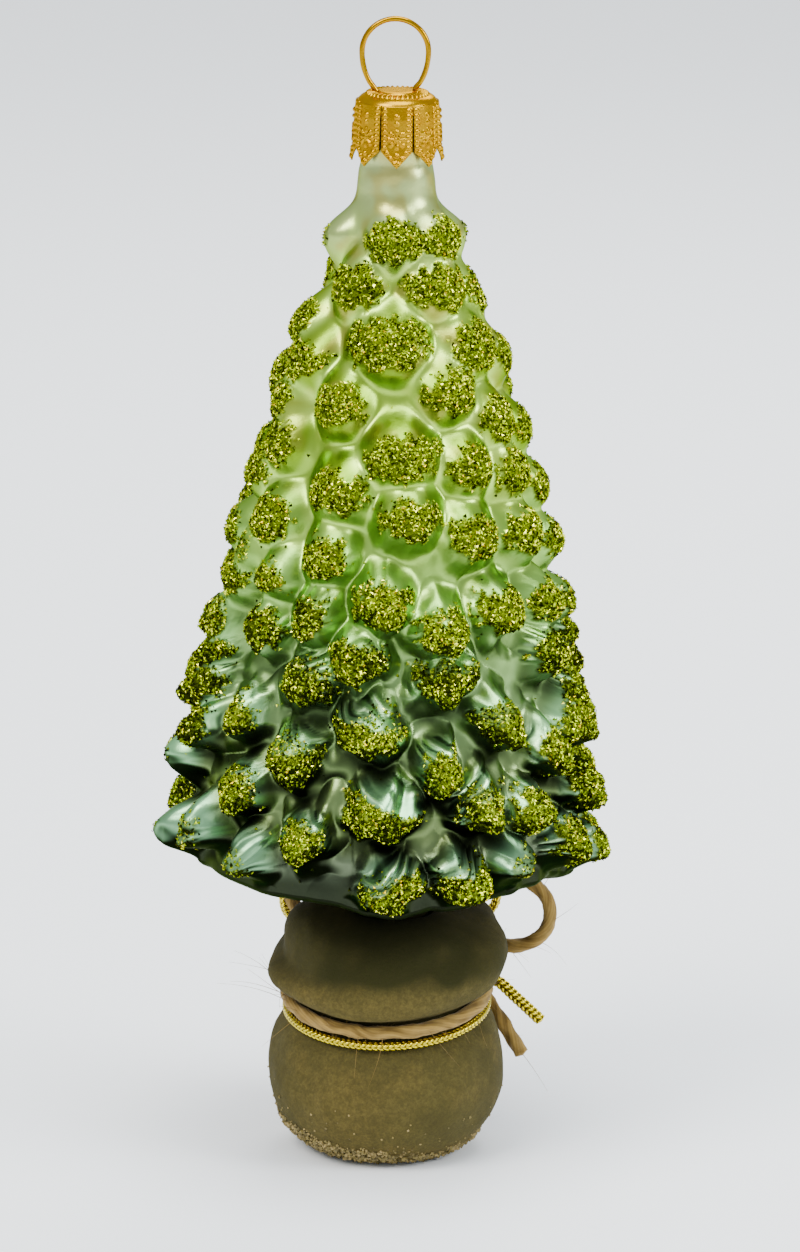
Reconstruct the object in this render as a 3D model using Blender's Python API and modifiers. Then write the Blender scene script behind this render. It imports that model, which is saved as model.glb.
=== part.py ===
"""Glass tree ornament in the shape of a potted dwarf spruce, with its root ball in a tied sack.

The real piece is one blown glass figure that is silvered inside and lacquered outside. Here each
feature of the figure is a piece of its own: the root ball, the gathered collar of the sack, the
short trunk, ten tiers of branch tips and the glass neck. The stamped cap, the wire ring and the
two knotted ties are the real separate parts.

Sizes in this file are millimetres, and every mesh is written in metres. The figure's axis is Z,
its front faces -Y, and the origin is the centre of the flat foot under the sack.
"""

import math

import bmesh
import bpy
import numpy as np
from mathutils import Matrix

MM = 0.001
GAP = 0.3

# Crown: how far the tips reach from the axis, as (height, radius)
CROWN_TOP = 149.4
CROWN_RIM = 42.5
TIP_REACH = ((48, 35.0), (60, 34.6), (79, 30.8), (107, 23.2), (131, 15.8), (137, 12.3), (144, 10.8))

# The skirt of the crown stands a little to the left of the axis, as (height, shift)
CROWN_LEAN = ((62, -1.1), (85, 0.0))

# Branch tips of the front, tier by tier from the top, as (degrees to the right, height).
# The back repeats them, turned by BACK_TURN, and the widest places left get one more each.
FRONT_TIERS = (
    ((-70, 144.5), (-37, 138), (-2, 145), (34, 138), (54, 145), (88, 136)),
    ((-80, 131.5), (-60, 126.5), (-4, 130), (32, 123), (57, 129), (92, 126)),
    ((-68, 120), (-61, 114), (-30, 121), (4, 114), (37, 112), (60, 118), (92, 115)),
    ((-76, 109), (-56, 103), (-24, 108.5), (7, 105), (34, 102), (63, 110), (63, 101), (92, 106)),
    ((-88, 99), (-70, 93), (-64, 98), (-47, 94.5), (-26, 99), (-3, 92), (42, 90), (67, 90), (93, 97)),
    ((-76, 86.5), (-49, 86.5), (-29, 89.5), (-11, 83.5), (18, 88), (63, 82), (95, 87)),
    ((-77, 81), (-76, 75.5), (-50, 73), (-28, 80), (-6, 73), (19, 80.5), (38, 73), (76, 75)),
    ((-73, 69), (-29, 68), (17, 67), (60, 67), (72, 70.5)),
    ((-86, 62.5), (-45, 62), (0, 61), (30, 61), (47, 59.5), (74, 61), (94, 57)),
    ((-84, 51), (-62, 55), (-41, 52), (-23, 55.5), (2, 50), (24, 50.5), (40, 52), (66, 52), (88, 48.5)),
)
BACK_TURN = 184
LEAST_PITCH = 8.0
WIDEST_PITCH = 10.5
FIRST_FILLED_ANGLE = 80

# Shape of one tip: a cone of this slope with a rounded nose, drooping low on the crown
NOSE_SLOPE = 1.1
NOSE_ROUND = 3.6
VALLEY_BLEND = 0.5
DROOP_SPAN = (60, 110)
DROOP_ABOVE = 0.25
DROOP_BELOW = 0.5
SHOULDER_HEIGHT = 5.0
CROWN_COLUMNS = 52
CROWN_BANDS = 4
LEAST_TIER = 2.5
SEAM_GAP = 0.4

# Neck, cap and ring
NECK_FOOT_RADIUS = 5.9
NECK_TOP_RADIUS = 5.3
NECK_TOP = 164.2
NECK_WALL = 0.9
NECK_FLOOR = 1.5
NECK_OUTLINE = ((5.3, 160.2), (5.55, 156.0), (NECK_FOOT_RADIUS, 151.5))
NECK_STEPS = 24
CAP_TOP = 166.4
CAP_WALL = 0.4
CAP_ROOF = 2.0
CAP_OUTLINE = (
    (0, 0), (3.0, 0), (3.3, 0.5), (4.9, 0.9), (5.7, 1.5), (6.05, 2.4), (6.2, 3.9), (6.45, 7.4), (6.9, 10.7),
)
PETALS = 8
SLOT_WIDTH = 0.5
SLOT_TOP = 163.0
SLOT_REACH = (4.0, 9.0)
PETAL_POINT = 2.4
RING_RADIUS = 5.0
RING_WIRE = 0.42
RING_CENTRE = (-0.4, 172.2)
RING_OPEN_ANGLE = 32
RING_POINTS = 25
RING_SPACING = 1.4
LEG_HOLE_RADIUS = 0.75
LEG_X = 2.35
LEG_ROUTE = ((LEG_X, 0, CAP_TOP - 0.2), (LEG_X + 0.3, 0, 163.0), (3.4, 0, 159.5), (3.5, 0, 156.5))

# Root ball and collar of the sack: radius and height before the sack's tilt
COLLAR_BORE = 7.8
BALL_OUTLINE = (
    (9.0, 0), (12.8, 1.5), (16.0, 4.8), (17.9, 9.0), (18.3, 13.3), (17.8, 16.8), (16.6, 20.0),
    (14.6, 22.6), (14.0, 24.0), (COLLAR_BORE, 24.0),
)
COLLAR_OUTLINE = (
    (14.0, 24.3), (14.1, 26.2), (15.8, 27.1), (17.7, 28.4), (18.7, 30.6), (18.1, 33.2), (15.5, 35.8),
    (11.6, 37.6), (8.6, 38.4),
)
COLLAR_LOBES = 5
COLLAR_LOBE_TURN = 0.6
COLLAR_LOBE_HEIGHT = 0.45
COLLAR_SWELLS = (14.5, 17.5)
SACK_COLUMNS = 30
TRUNK_OUTLINE = ((7.4, 24.3), (6.9, 27.0), (6.5, 33.0), (6.4, 41.2))
TRUNK_STEPS = 20

# Tilt of the sack in rise per millimetre, and the heights between which it comes and goes
SACK_TILT_FORWARD = 0.16
SACK_TILT_SIDE = 0.027
COLLAR_TILT_SIDE = 0.086
TILT_COMES = (8.0, 18.0)
TILT_GOES = (33.0, 38.4)
SIDE_TILT_CHANGES = (26.5, 30.5)
TILT_COMES_OUTWARD = (COLLAR_BORE, 13.8)

# Ties: wire radius, then radius and height of the band on the sack before its tilt
JUTE_RADIUS = 1.0
GOLD_RADIUS = 0.65
JUTE_BAND = (15.45, 25.2)
GOLD_BAND = (15.5, 23.0)
BAND_POINTS = 26
TIE_SPACING = 5
JUTE_KNOT = ((0.0, 18.4, 28.6), (2.2, 1.7, 2.1))
GOLD_KNOT = ((0.0, 17.8, 24.2), (1.4, 1.2, 1.2))
ROUTES = {
    "jute_loop_right": (
        (2.8, 18.7, 28.4), (8, 19.7, 28.2), (14, 17.8, 28.1), (19, 13.8, 28.2), (22.4, 12.3, 29.2),
        (24.8, 12, 31.6), (25.3, 12, 34.6), (24, 12.6, 37.4), (21, 14, 39), (16.5, 16.2, 38.8),
        (11.5, 18.6, 36.4), (6.5, 19.8, 33.2), (2.5, 19.5, 31),
    ),
    "jute_loop_left": (
        (-2.8, 18.7, 28.4), (-7, 20.2, 28.7), (-12, 19.2, 30.8), (-15, 16.8, 34), (-15.2, 15.4, 37),
        (-12.4, 15.6, 38.8), (-8.6, 17.6, 37.2), (-5.2, 19.4, 34), (-2.5, 19.5, 31),
    ),
    "gold_loop_right": (
        (1.9, 18.1, 23.8), (4.2, 20.8, 24), (7, 22, 25.4), (11, 22.2, 28), (15.2, 20.2, 31.2),
        (17.0, 18.8, 34.4), (15.6, 19.6, 37.3), (11.5, 21.4, 38.4), (7.2, 22.6, 35.4), (3.4, 22.3, 29.5),
        (1.7, 20.9, 26.7), (0.9, 19.4, 25.1),
    ),
    "gold_loop_left": (
        (-1.9, 18.1, 23.8), (-4.2, 20.8, 24), (-7.2, 22, 25.6), (-11.4, 21.8, 28.4), (-15.6, 19, 31.6),
        (-17.4, 16.4, 35), (-16.8, 17.6, 38), (-12.6, 20.4, 39), (-7.4, 22.4, 36), (-3.4, 22.4, 29.8),
        (-1.7, 20.9, 26.7), (-0.9, 19.4, 25.1),
    ),
    "gold_tail_right": (
        (2.3, 17.6, 22.1), (7, 17.8, 22.5), (12.2, 15.1, 23.4), (16.8, 12.6, 23), (20.4, 11.6, 20.2),
        (24.1, 11, 16.9),
    ),
    "gold_tail_left": ((-1.9, 17.6, 22.1), (-3.2, 19.6, 20), (-3.2, 20.2, 15.4), (-2.2, 19.8, 10.4)),
    "jute_tail_right": (
        (2.9, 18.8, 26.1), (6.6, 19.8, 25), (11, 19.4, 22.6), (14.6, 16.6, 20), (17, 13.8, 17.5),
        (19.2, 12, 14.5), (21.2, 11, 11.4),
    ),
    "jute_tail_left": (
        (-2.9, 18.8, 26.1), (-6, 18.9, 24.4), (-7.4, 19.2, 20), (-7.2, 20, 15), (-6, 20.2, 9.8),
    ),
}

PALETTE = {
    "crown_top": ((0.42, 0.58, 0.26), 0.3, 0.6),
    "crown_skirt": ((0.10, 0.28, 0.19), 0.3, 0.6),
    "neck_glass": ((0.66, 0.74, 0.66), 0.3, 0.6),
    "cap_metal": ((0.78, 0.55, 0.16), 0.35, 1.0),
    "sack_flock": ((0.16, 0.14, 0.07), 0.9, 0.0),
    "jute_twine": ((0.50, 0.33, 0.17), 0.9, 0.0),
    "gold_braid": ((0.72, 0.60, 0.12), 0.4, 0.8),
}


def start_collection(name):
    """Empties the scene and returns a new collection for the ornament's parts."""
    for old in list(bpy.data.objects):
        bpy.data.objects.remove(old, do_unlink=True)
    collection = bpy.data.collections.new(name)
    bpy.context.scene.collection.children.link(collection)
    return collection


def finish_material(name):
    """A Principled material with the palette's colour, roughness and metallic value."""
    if name in bpy.data.materials:
        return bpy.data.materials[name]
    colour, roughness, metallic = PALETTE[name]
    material = bpy.data.materials.new(name)
    material.use_nodes = True
    shader = material.node_tree.nodes["Principled BSDF"]
    shader.inputs["Base Color"].default_value = (*colour, 1.0)
    shader.inputs["Roughness"].default_value = roughness
    shader.inputs["Metallic"].default_value = metallic
    material.diffuse_color = (*colour, 1.0)
    return material


def place(name, data, finish):
    """Puts a mesh or a curve into the scene as a part."""
    data.materials.append(finish_material(finish))
    part = bpy.data.objects.new(name, data)
    PARTS.objects.link(part)
    return part


def smooth(part):
    part.data.shade_smooth()
    part.data.set_sharp_from_angle(angle=math.radians(40))


def eased(value, span):
    """0 at the span's first value to 1 at its second, with level ends."""
    amount = np.clip((value - span[0]) / (span[1] - span[0]), 0, 1)
    return amount * amount * (3 - 2 * amount)


def table_value(table, height):
    heights, values = zip(*sorted(table))
    return np.interp(height, heights, values)


def loft(name, rings, finish, centres=None):
    """A closed skin over rings of equally many points, listed from the bottom to the top.

    With two centre points each end is closed by a fan. Without them the last ring joins the first.
    """
    count, columns, _ = rings.shape
    bm = bmesh.new()
    grid = [[bm.verts.new(point * MM) for point in ring] for ring in rings]
    closed = centres is None
    for row in range(count if closed else count - 1):
        low, high = grid[row], grid[(row + 1) % count]
        for column in range(columns):
            after = (column + 1) % columns
            bm.faces.new((low[column], low[after], high[after], high[column]))
    if not closed:
        for ring, centre in ((grid[0][::-1], centres[0]), (grid[-1], centres[1])):
            hub = bm.verts.new(np.asarray(centre, float) * MM)
            for column in range(columns):
                bm.faces.new((ring[column], ring[(column + 1) % columns], hub))
    mesh = bpy.data.meshes.new(name)
    bm.to_mesh(mesh)
    bm.free()
    part = place(name, mesh, finish)
    smooth(part)
    return part


def turned(name, outline, steps, finish):
    """A profile of (radius, height) turned round the axis, outer side running down."""
    mesh = bpy.data.meshes.new(name)
    points = [(radius * MM, 0, height * MM) for radius, height in outline]
    mesh.from_pydata(points, [(i, i + 1) for i in range(len(points) - 1)], [])
    part = place(name, mesh, finish)
    screw = part.modifiers.new("turn", "SCREW")
    screw.steps = steps
    screw.render_steps = steps
    screw.use_merge_vertices = True
    screw.merge_threshold = 0.00001
    screw.use_smooth_shade = True
    return part


def smooth_route(points, spacing):
    """Evenly spaced points on a Catmull-Rom curve through the given ones."""
    knots = np.array(points, float)
    knots = np.vstack((2 * knots[0] - knots[1], knots, 2 * knots[-1] - knots[-2]))
    t = np.linspace(0, 1, 24, endpoint=False)[:, None]
    runs = []
    for a, b, c, d in zip(knots, knots[1:], knots[2:], knots[3:]):
        square = (2 * a - 5 * b + 4 * c - d) * t**2
        cube = (3 * b - a - 3 * c + d) * t**3
        runs.append((2 * b + (c - a) * t + square + cube) / 2)
    fine = np.vstack((*runs, knots[-2]))
    along = np.concatenate(([0], np.cumsum(np.linalg.norm(np.diff(fine, axis=0), axis=1))))
    stations = np.linspace(0, along[-1], max(4, round(along[-1] / spacing) + 1))
    return np.stack([np.interp(stations, along, fine[:, axis]) for axis in range(3)], axis=1)


def tube(name, points, radius, finish, cyclic=False):
    """A six-sided wire or cord along the points."""
    curve = bpy.data.curves.new(name, "CURVE")
    curve.dimensions = "3D"
    curve.bevel_depth = radius * MM
    curve.bevel_resolution = 1
    curve.use_fill_caps = not cyclic
    spline = curve.splines.new("POLY")
    spline.points.add(len(points) - 1)
    weighted = np.column_stack((np.asarray(points) * MM, np.ones(len(points))))
    spline.points.foreach_set("co", weighted.ravel())
    spline.use_cyclic_u = cyclic
    return place(name, curve, finish)


def cut(part, cutter):
    """Takes the cutter's volume out of the part."""
    cutter.hide_render = True
    cutter.display_type = "WIRE"
    CUTTERS.objects.link(cutter)
    boolean = part.modifiers.new(cutter.name, "BOOLEAN")
    boolean.operation = "DIFFERENCE"
    boolean.solver = "EXACT"
    boolean.object = cutter


# The crown


def wrapped(angle):
    return (angle + math.pi) % (2 * math.pi) - math.pi


def skin_distance(angle, height, tips):
    """Distance over the crown's skin from points to tips, one column for each tip."""
    across = table_value(TIP_REACH, tips[:, 1]) * wrapped(angle[..., None] - tips[:, 0])
    return np.hypot(across, height[..., None] - tips[:, 1])


def all_tips():
    """Rows of (angle, height, tier) for every branch tip.

    The back repeats the front, turned round the axis, without the tips that would crowd a front
    one. Then the place farthest from every tip gets one, as long as that is wider than the pitch.
    """
    rows = [(a, h, k) for k, tier in enumerate(FRONT_TIERS) for a, h in tier]
    front = np.array(rows) * (math.radians(1), 1, 1)
    back = front + (math.radians(BACK_TURN), 0, 0)
    clear = skin_distance(back[:, 0], back[:, 1], front).min(axis=1) > LEAST_PITCH
    tips = np.vstack((front, back[clear]))
    first = math.radians(FIRST_FILLED_ANGLE)
    angles = np.linspace(first, 2 * math.pi - first, 120)
    angle, height = np.meshgrid(angles, np.linspace(front[:, 1].min(), front[:, 1].max(), 100))
    middles = [np.mean([h for _, h in tier]) for tier in FRONT_TIERS]
    while True:
        room = skin_distance(angle, height, tips).min(axis=2)
        widest = np.unravel_index(room.argmax(), room.shape)
        if room[widest] < WIDEST_PITCH:
            return tips
        tier = np.abs(np.subtract(middles, height[widest])).argmin()
        tips = np.vstack((tips, (angle[widest], height[widest], tier)))


def crown_radius(angle, height, tips):
    """Distance of the crown's skin from its axis.

    Each tip is a cone with a rounded nose that stands out from the reach at its height. The skin
    is the smooth maximum of them all, eased into the neck at the top.
    """
    reach = table_value(TIP_REACH, tips[:, 1])
    droop = 1 - eased(tips[:, 1], DROOP_SPAN)
    rise = height[..., None] - tips[:, 1]
    rise = rise * np.where(rise > 0, 1 - DROOP_ABOVE * droop, 1 + DROOP_BELOW * droop)
    across = reach * wrapped(angle[..., None] - tips[:, 0])
    fall = NOSE_SLOPE * (np.sqrt(across**2 + rise**2 + NOSE_ROUND**2) - NOSE_ROUND)
    skin = VALLEY_BLEND * np.log(np.exp((reach - fall) / VALLEY_BLEND).sum(axis=-1))
    shoulder = eased(height, (CROWN_TOP + 1, CROWN_TOP + 1 - SHOULDER_HEIGHT))
    return NECK_FOOT_RADIUS + (skin - NECK_FOOT_RADIUS) * shoulder


def seam_height(angle, tips, upper):
    """Height at which the tips down to tier upper are as far away as the tips under it."""
    heights = np.linspace(CROWN_TOP, CROWN_RIM, 400)
    away = skin_distance(angle[:, None], heights[None, :], tips)
    above = tips[:, 2] <= upper
    nearer_below = away[..., ~above].min(axis=2) < away[..., above].min(axis=2)
    return heights[nearer_below.argmax(axis=1)]


def make_crown():
    tips = all_tips()
    angle = np.linspace(-math.pi, math.pi, CROWN_COLUMNS, endpoint=False)
    count = len(FRONT_TIERS)
    seams = [np.full(CROWN_COLUMNS, CROWN_TOP)]
    seams += [seam_height(angle, tips, upper) for upper in range(count - 1)]
    seams += [np.full(CROWN_COLUMNS, CROWN_RIM)]
    for number in range(count - 1, 0, -1):
        seams[number] = np.maximum(seams[number], seams[number + 1] + LEAST_TIER)
    for number in range(count):
        high = seams[number] - (SEAM_GAP / 2 if number else 0)
        low = seams[number + 1] + (SEAM_GAP / 2 if number < count - 1 else 0)
        share = np.linspace(0, 1, CROWN_BANDS + 1)[:, None]
        height = low + (high - low) * share
        turn = np.broadcast_to(angle, height.shape)
        radius = crown_radius(turn, height, tips)
        shift = table_value(CROWN_LEAN, height)
        rings = np.stack((shift + radius * np.sin(turn), -radius * np.cos(turn), height), axis=-1)
        centres = [(table_value(CROWN_LEAN, edge.mean()), 0, edge.mean()) for edge in (low, high)]
        if number == count - 1:
            centres[0] = (0, 0, CROWN_RIM - 1)
        finish = "crown_top" if number < count // 2 else "crown_skirt"
        loft(f"branch_tier_{count - number:02d}", rings, finish, centres)


# Neck, cap and ring


def make_neck():
    """A tube of glass with a floor, which stands on the crown and goes up into the cap."""
    foot = CROWN_TOP + GAP
    bore = NECK_TOP_RADIUS - NECK_WALL
    inside = ((0, foot + NECK_FLOOR), (bore, foot + NECK_FLOOR), (bore, NECK_TOP))
    outside = ((NECK_TOP_RADIUS, NECK_TOP), *NECK_OUTLINE, (NECK_FOOT_RADIUS, foot), (0, foot))
    turned("glass_neck", inside + outside, NECK_STEPS, "neck_glass")


def petal_slot(number):
    """A narrow radial slot that opens into a V between two petal points."""
    half = SLOT_WIDTH / 2
    foot = CAP_TOP - CAP_OUTLINE[-1][1]
    wide = math.pi * CAP_OUTLINE[-1][0] / PETALS
    left = ((-half, SLOT_TOP), (-half, foot + PETAL_POINT), (-wide, foot - 0.1))
    right = [(-x, z) for x, z in reversed(left)]
    outline = (*left, *right)
    bm = bmesh.new()
    face = bm.faces.new([bm.verts.new((x * MM, -SLOT_REACH[1] * MM, z * MM)) for x, z in outline])
    sides = bmesh.ops.extrude_face_region(bm, geom=[face])["geom"]
    far = [item for item in sides if isinstance(item, bmesh.types.BMVert)]
    bmesh.ops.translate(bm, verts=far, vec=(0, (SLOT_REACH[1] - SLOT_REACH[0]) * MM, 0))
    bmesh.ops.recalc_face_normals(bm, faces=bm.faces)
    turn = Matrix.Rotation((number + 0.5) * 2 * math.pi / PETALS, 3, "Z")
    bmesh.ops.rotate(bm, verts=bm.verts, matrix=turn, cent=(0, 0, 0))
    mesh = bpy.data.meshes.new(f"petal_slot_{number}")
    bm.to_mesh(mesh)
    bm.free()
    return bpy.data.objects.new(mesh.name, mesh)


def leg_hole(side):
    centre = (side * LEG_X * MM, 0, CAP_TOP * MM)
    radius = LEG_HOLE_RADIUS * MM
    bpy.ops.mesh.primitive_cylinder_add(vertices=12, radius=radius, depth=4 * MM, location=centre)
    hole = bpy.context.object
    hole.name = f"leg_hole_{'left' if side < 0 else 'right'}"
    for home in list(hole.users_collection):
        home.objects.unlink(hole)
    return hole


def make_cap():
    """A stamped cup whose skirt is slit into pointed petals."""
    outer = [(radius, CAP_TOP - drop) for radius, drop in CAP_OUTLINE]
    inner = []
    for radius, drop in CAP_OUTLINE:
        sheet = CAP_WALL if drop < CAP_ROOF else 0
        inner.append((max(radius - CAP_WALL, 0), CAP_TOP - drop - sheet))
    cap = turned("petal_cap", outer + inner[::-1], 2 * PETALS, "cap_metal")
    for number in range(PETALS):
        cut(cap, petal_slot(number))
    for side in (-1, 1):
        cut(cap, leg_hole(side))


def make_ring():
    """A wire ring, open at the bottom, whose two legs run down through the cap into the neck."""
    x, z = RING_CENTRE
    opening = math.radians(RING_OPEN_ANGLE)
    turn = np.linspace(opening, 2 * math.pi - opening, RING_POINTS) + math.pi
    arc = [(x + RING_RADIUS * math.sin(a), 0, z + RING_RADIUS * math.cos(a)) for a in turn]
    left = [(-a, b, c) for a, b, c in LEG_ROUTE]
    route = smooth_route((*left[::-1], *arc, *LEG_ROUTE), RING_SPACING)
    tube("hanging_ring", route, RING_WIRE, "cap_metal")


# Sack, trunk and ties


def on_sack(angle, radius, height):
    """Points of the sack, whose waist and collar are tilted forward and to one side.

    The tilt grows from the ball's middle to the waist, holds through the collar and fades at its
    mouth. It leaves the middle of the sack level, where the trunk stands.
    """
    x = radius * np.sin(angle)
    y = -radius * np.cos(angle)
    up = eased(height, TILT_COMES) * (1 - eased(height, TILT_GOES))
    side = SACK_TILT_SIDE + (COLLAR_TILT_SIDE - SACK_TILT_SIDE) * eased(height, SIDE_TILT_CHANGES)
    share = up * eased(radius, TILT_COMES_OUTWARD)
    return np.stack((x, y, height + share * (SACK_TILT_FORWARD * y + side * x)), axis=-1)


def make_sack():
    angle = np.linspace(-math.pi, math.pi, SACK_COLUMNS, endpoint=False)
    level = np.ones_like(angle)
    rings = [on_sack(angle, radius * level, height * level) for radius, height in BALL_OUTLINE]
    loft("root_ball", np.stack(rings), "sack_flock", ((0, 0, 0), (0, 0, BALL_OUTLINE[-1][1])))
    lobes = COLLAR_LOBE_HEIGHT * np.cos(COLLAR_LOBES * angle + COLLAR_LOBE_TURN)
    bore = ((COLLAR_BORE, COLLAR_OUTLINE[-1][1]), (COLLAR_BORE, COLLAR_OUTLINE[0][1]))
    rings = []
    for radius, height in COLLAR_OUTLINE + bore:
        swell = eased(radius, COLLAR_SWELLS)
        rings.append(on_sack(angle, radius + swell * lobes, height * level))
    loft("sack_collar", np.stack(rings), "sack_flock")


def make_trunk():
    top = TRUNK_OUTLINE[-1][1]
    foot = TRUNK_OUTLINE[0][1]
    turned("short_trunk", ((0, top), *TRUNK_OUTLINE[::-1], (0, foot)), TRUNK_STEPS, "sack_flock")


def band_points(radius, height):
    angle = np.linspace(-math.pi, math.pi, BAND_POINTS, endpoint=False)
    return on_sack(angle, np.full_like(angle, radius), np.full_like(angle, height))


def knot(name, centre, radii, finish):
    """An egg of the given half sizes, where the loops and the tails of a tie come together."""
    bpy.ops.mesh.primitive_uv_sphere_add(segments=10, ring_count=6, radius=1, location=(0, 0, 0))
    ball = bpy.context.object
    mesh = ball.data
    bpy.data.objects.remove(ball)
    scaled = np.empty(len(mesh.vertices) * 3)
    mesh.vertices.foreach_get("co", scaled)
    mesh.vertices.foreach_set("co", ((scaled.reshape(-1, 3) * radii + centre) * MM).ravel())
    mesh.name = name
    smooth(place(name, mesh, finish))


def make_ties():
    tube("jute_band", band_points(*JUTE_BAND), JUTE_RADIUS, "jute_twine", cyclic=True)
    tube("gold_band", band_points(*GOLD_BAND), GOLD_RADIUS, "gold_braid", cyclic=True)
    knot("jute_knot", *JUTE_KNOT, "jute_twine")
    knot("gold_knot", *GOLD_KNOT, "gold_braid")
    for name, points in ROUTES.items():
        jute = name.startswith("jute")
        radius = JUTE_RADIUS if jute else GOLD_RADIUS
        route = smooth_route(points, TIE_SPACING * radius)
        tube(name, route, radius, "jute_twine" if jute else "gold_braid")


PARTS = start_collection("glass_spruce_ornament")
CUTTERS = bpy.data.collections.new("cutters")
bpy.context.scene.collection.children.link(CUTTERS)
make_crown()
make_neck()
make_cap()
make_ring()
make_sack()
make_trunk()
make_ties()
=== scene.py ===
"""Looks of a blown-glass tree ornament: a potted dwarf spruce whose root ball sits in a tied sack.

The silvered and lacquered glass, the glitter on its branch tips, the flocked sack with grit at its
foot, the stamped cap with its ring, and the two knotted ties are made here around the fixed frame.

Sizes are millimetres, and a mesh is written in metres. The ornament's axis is Z, its front faces -Y,
and the origin is the centre of the foot. Angles round the axis run from the front to the right.
"""

import math

import bpy
import numpy as np
from mathutils import Matrix


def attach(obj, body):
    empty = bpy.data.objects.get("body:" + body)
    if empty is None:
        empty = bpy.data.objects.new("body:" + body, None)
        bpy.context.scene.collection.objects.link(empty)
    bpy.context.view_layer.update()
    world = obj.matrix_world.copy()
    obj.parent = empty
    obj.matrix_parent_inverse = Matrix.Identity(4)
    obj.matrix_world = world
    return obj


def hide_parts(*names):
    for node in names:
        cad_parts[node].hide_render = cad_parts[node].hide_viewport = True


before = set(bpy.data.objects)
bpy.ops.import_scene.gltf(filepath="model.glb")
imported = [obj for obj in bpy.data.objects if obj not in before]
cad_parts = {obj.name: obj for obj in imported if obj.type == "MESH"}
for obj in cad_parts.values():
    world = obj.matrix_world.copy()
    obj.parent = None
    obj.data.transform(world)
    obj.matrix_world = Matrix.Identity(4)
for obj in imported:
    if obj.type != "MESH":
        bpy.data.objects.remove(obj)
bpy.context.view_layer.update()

# Units, the waves of a ripple, the steps between two points of a route, how far a tube's end stands
# out as a share of its radius, and how much small bits lean
MM = 0.001
TURN = 2 * math.pi
RIPPLE_WAVES = 7
ROUTE_STEPS = 24
TUBE_END = 0.35
BIT_TILT = 0.6

# Crown: where the skin begins, dips under the lowest knobs and eases into the neck, its underside,
# how far the tips reach from the axis, as (height, radius), and its lean, as (height, shift)
CROWN_TOP = 151.6
CROWN_SHOULDER = (151.4, 144.4)
CROWN_RIM = 47.0
RIM_DIP = 2.0
RIM_DIP_WIDTH = 7.0
RIM_DIP_TIPS = (51.0, 48.9)
RIM_DIP_SPAN = (56.0, CROWN_RIM)
HEM_ROUND = 1.6
HEM_DROP = 0.9
UNDERSIDE_ROWS = 20
UNDERSIDE_CROWDING = 1.8
UNDERSIDE_END = (9.9, 41.9)
TIP_REACH = ((48, 35.0), (60, 34.6), (79, 30.8), (107, 23.2), (131, 15.8), (137, 12.3), (144, 10.8))
CROWN_LEAN = ((62, -1.1), (85, 0.0))

# Branch tips of the front, tier by tier from the top: degrees to the right, height, and how wide
# the patch of glitter on the tip is
FRONT_TIERS = (
    ((-82, 144.5, 3), (-37, 138, 10), (-2, 145, 10), (41, 138, 12), (54, 145, 10), (88, 136, 8)),
    ((-80, 131.5, 7), (-60, 126.5, 9), (-4, 130, 13), (32, 123, 9), (57, 129, 11), (92, 126, 8)),
    ((-68, 120, 5), (-61, 114, 7), (-30, 121, 8.5), (4, 114, 12), (37, 112, 8.5), (60, 118, 10),
     (92, 115, 8)),
    ((-76, 109, 9), (-56, 103, 10), (-24, 108.5, 10), (7, 105, 10.5), (34, 102, 9.5), (63, 110, 10),
     (63, 101, 10), (92, 106, 8)),
    ((-88, 99, 6), (-70, 93, 9), (-64, 98, 4), (-47, 94.5, 6), (-26, 99, 8.5), (-3, 92, 10),
     (42, 90, 10), (67, 90, 9), (93, 97, 8)),
    ((-76, 86.5, 6), (-49, 86.5, 8.5), (-29, 89.5, 6.5), (-11, 83.5, 9.5), (18, 88, 10), (63, 82, 10),
     (95, 87, 8)),
    ((-77, 81, 8), (-76, 75.5, 8), (-50, 73, 6), (-28, 80, 10.5), (-6, 73, 13), (19, 80.5, 12.5),
     (38, 73, 10), (76, 75, 8)),
    ((-73, 69, 7), (-29, 68, 10.5), (17, 67, 8), (60, 67, 9), (72, 70.5, 8)),
    ((-86, 62.5, 2), (-45, 62, 6), (0, 61, 13.5), (30, 61, 10), (47, 59.5, 8), (74, 61, 9),
     (94, 57, 8)),
    ((-84, 51, 1), (-62, 55, 4), (-41, 52, 4), (-23, 55.5, 8), (2, 49.2, 11), (24, 50, 11),
     (40, 52, 4), (66, 52, 9), (88, 48.5, 7)),
)

# Branch tips of the back: how far round the front ones are turned, how near a tip may come to the
# next one, and how wide a gap is filled with one more
BACK_TURN = 184
LEAST_PITCH = 8.0
WIDEST_PITCH = 8.9
FIRST_FILLED_ANGLE = 80
FILL_GRID = (120, 100)
FILLED_PATCH = 9.0

# Knobs that the tips end in, as (height, value): how far a knob stands out over the skin between
# them, its half width, how far it hangs down, and how soft the creases and the floor between are
KNOB_DEPTH = ((46, 7.4), (62, 7.2), (78, 6.6), (96, 5.6), (115, 4.7), (135, 4.0), (146, 3.4))
KNOB_HALF_WIDTH = ((48, 5.2), (75, 5.0), (96, 5.7), (130, 6.2), (144, 5.3))
KNOB_SAG = ((50, 1.8), (82, 1.5), (104, 0.0))
CREASE_WIDTH = ((48, 1.3), (76, 1.2), (96, 1.1), (140, 1.1))
FILLET = ((48, 2.4), (76, 2.2), (96, 1.5), (120, 1.25), (140, 1.05))

# Knobs: how far a sag spreads and the most of it, the round of the nose, the patch of a knob of plain
# width and how much another one stretches it, and the power as (least, growth, bounds)
SAG_SPREAD = 4.4
MOST_SAG = 1.8
KNOB_NOSE = 1.2
USUAL_PATCH = 8.6
KNOB_STRETCH = (0.95, 1.45)
KNOB_POWER = (1.5, 0.08, 2.3, 2.5)

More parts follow.
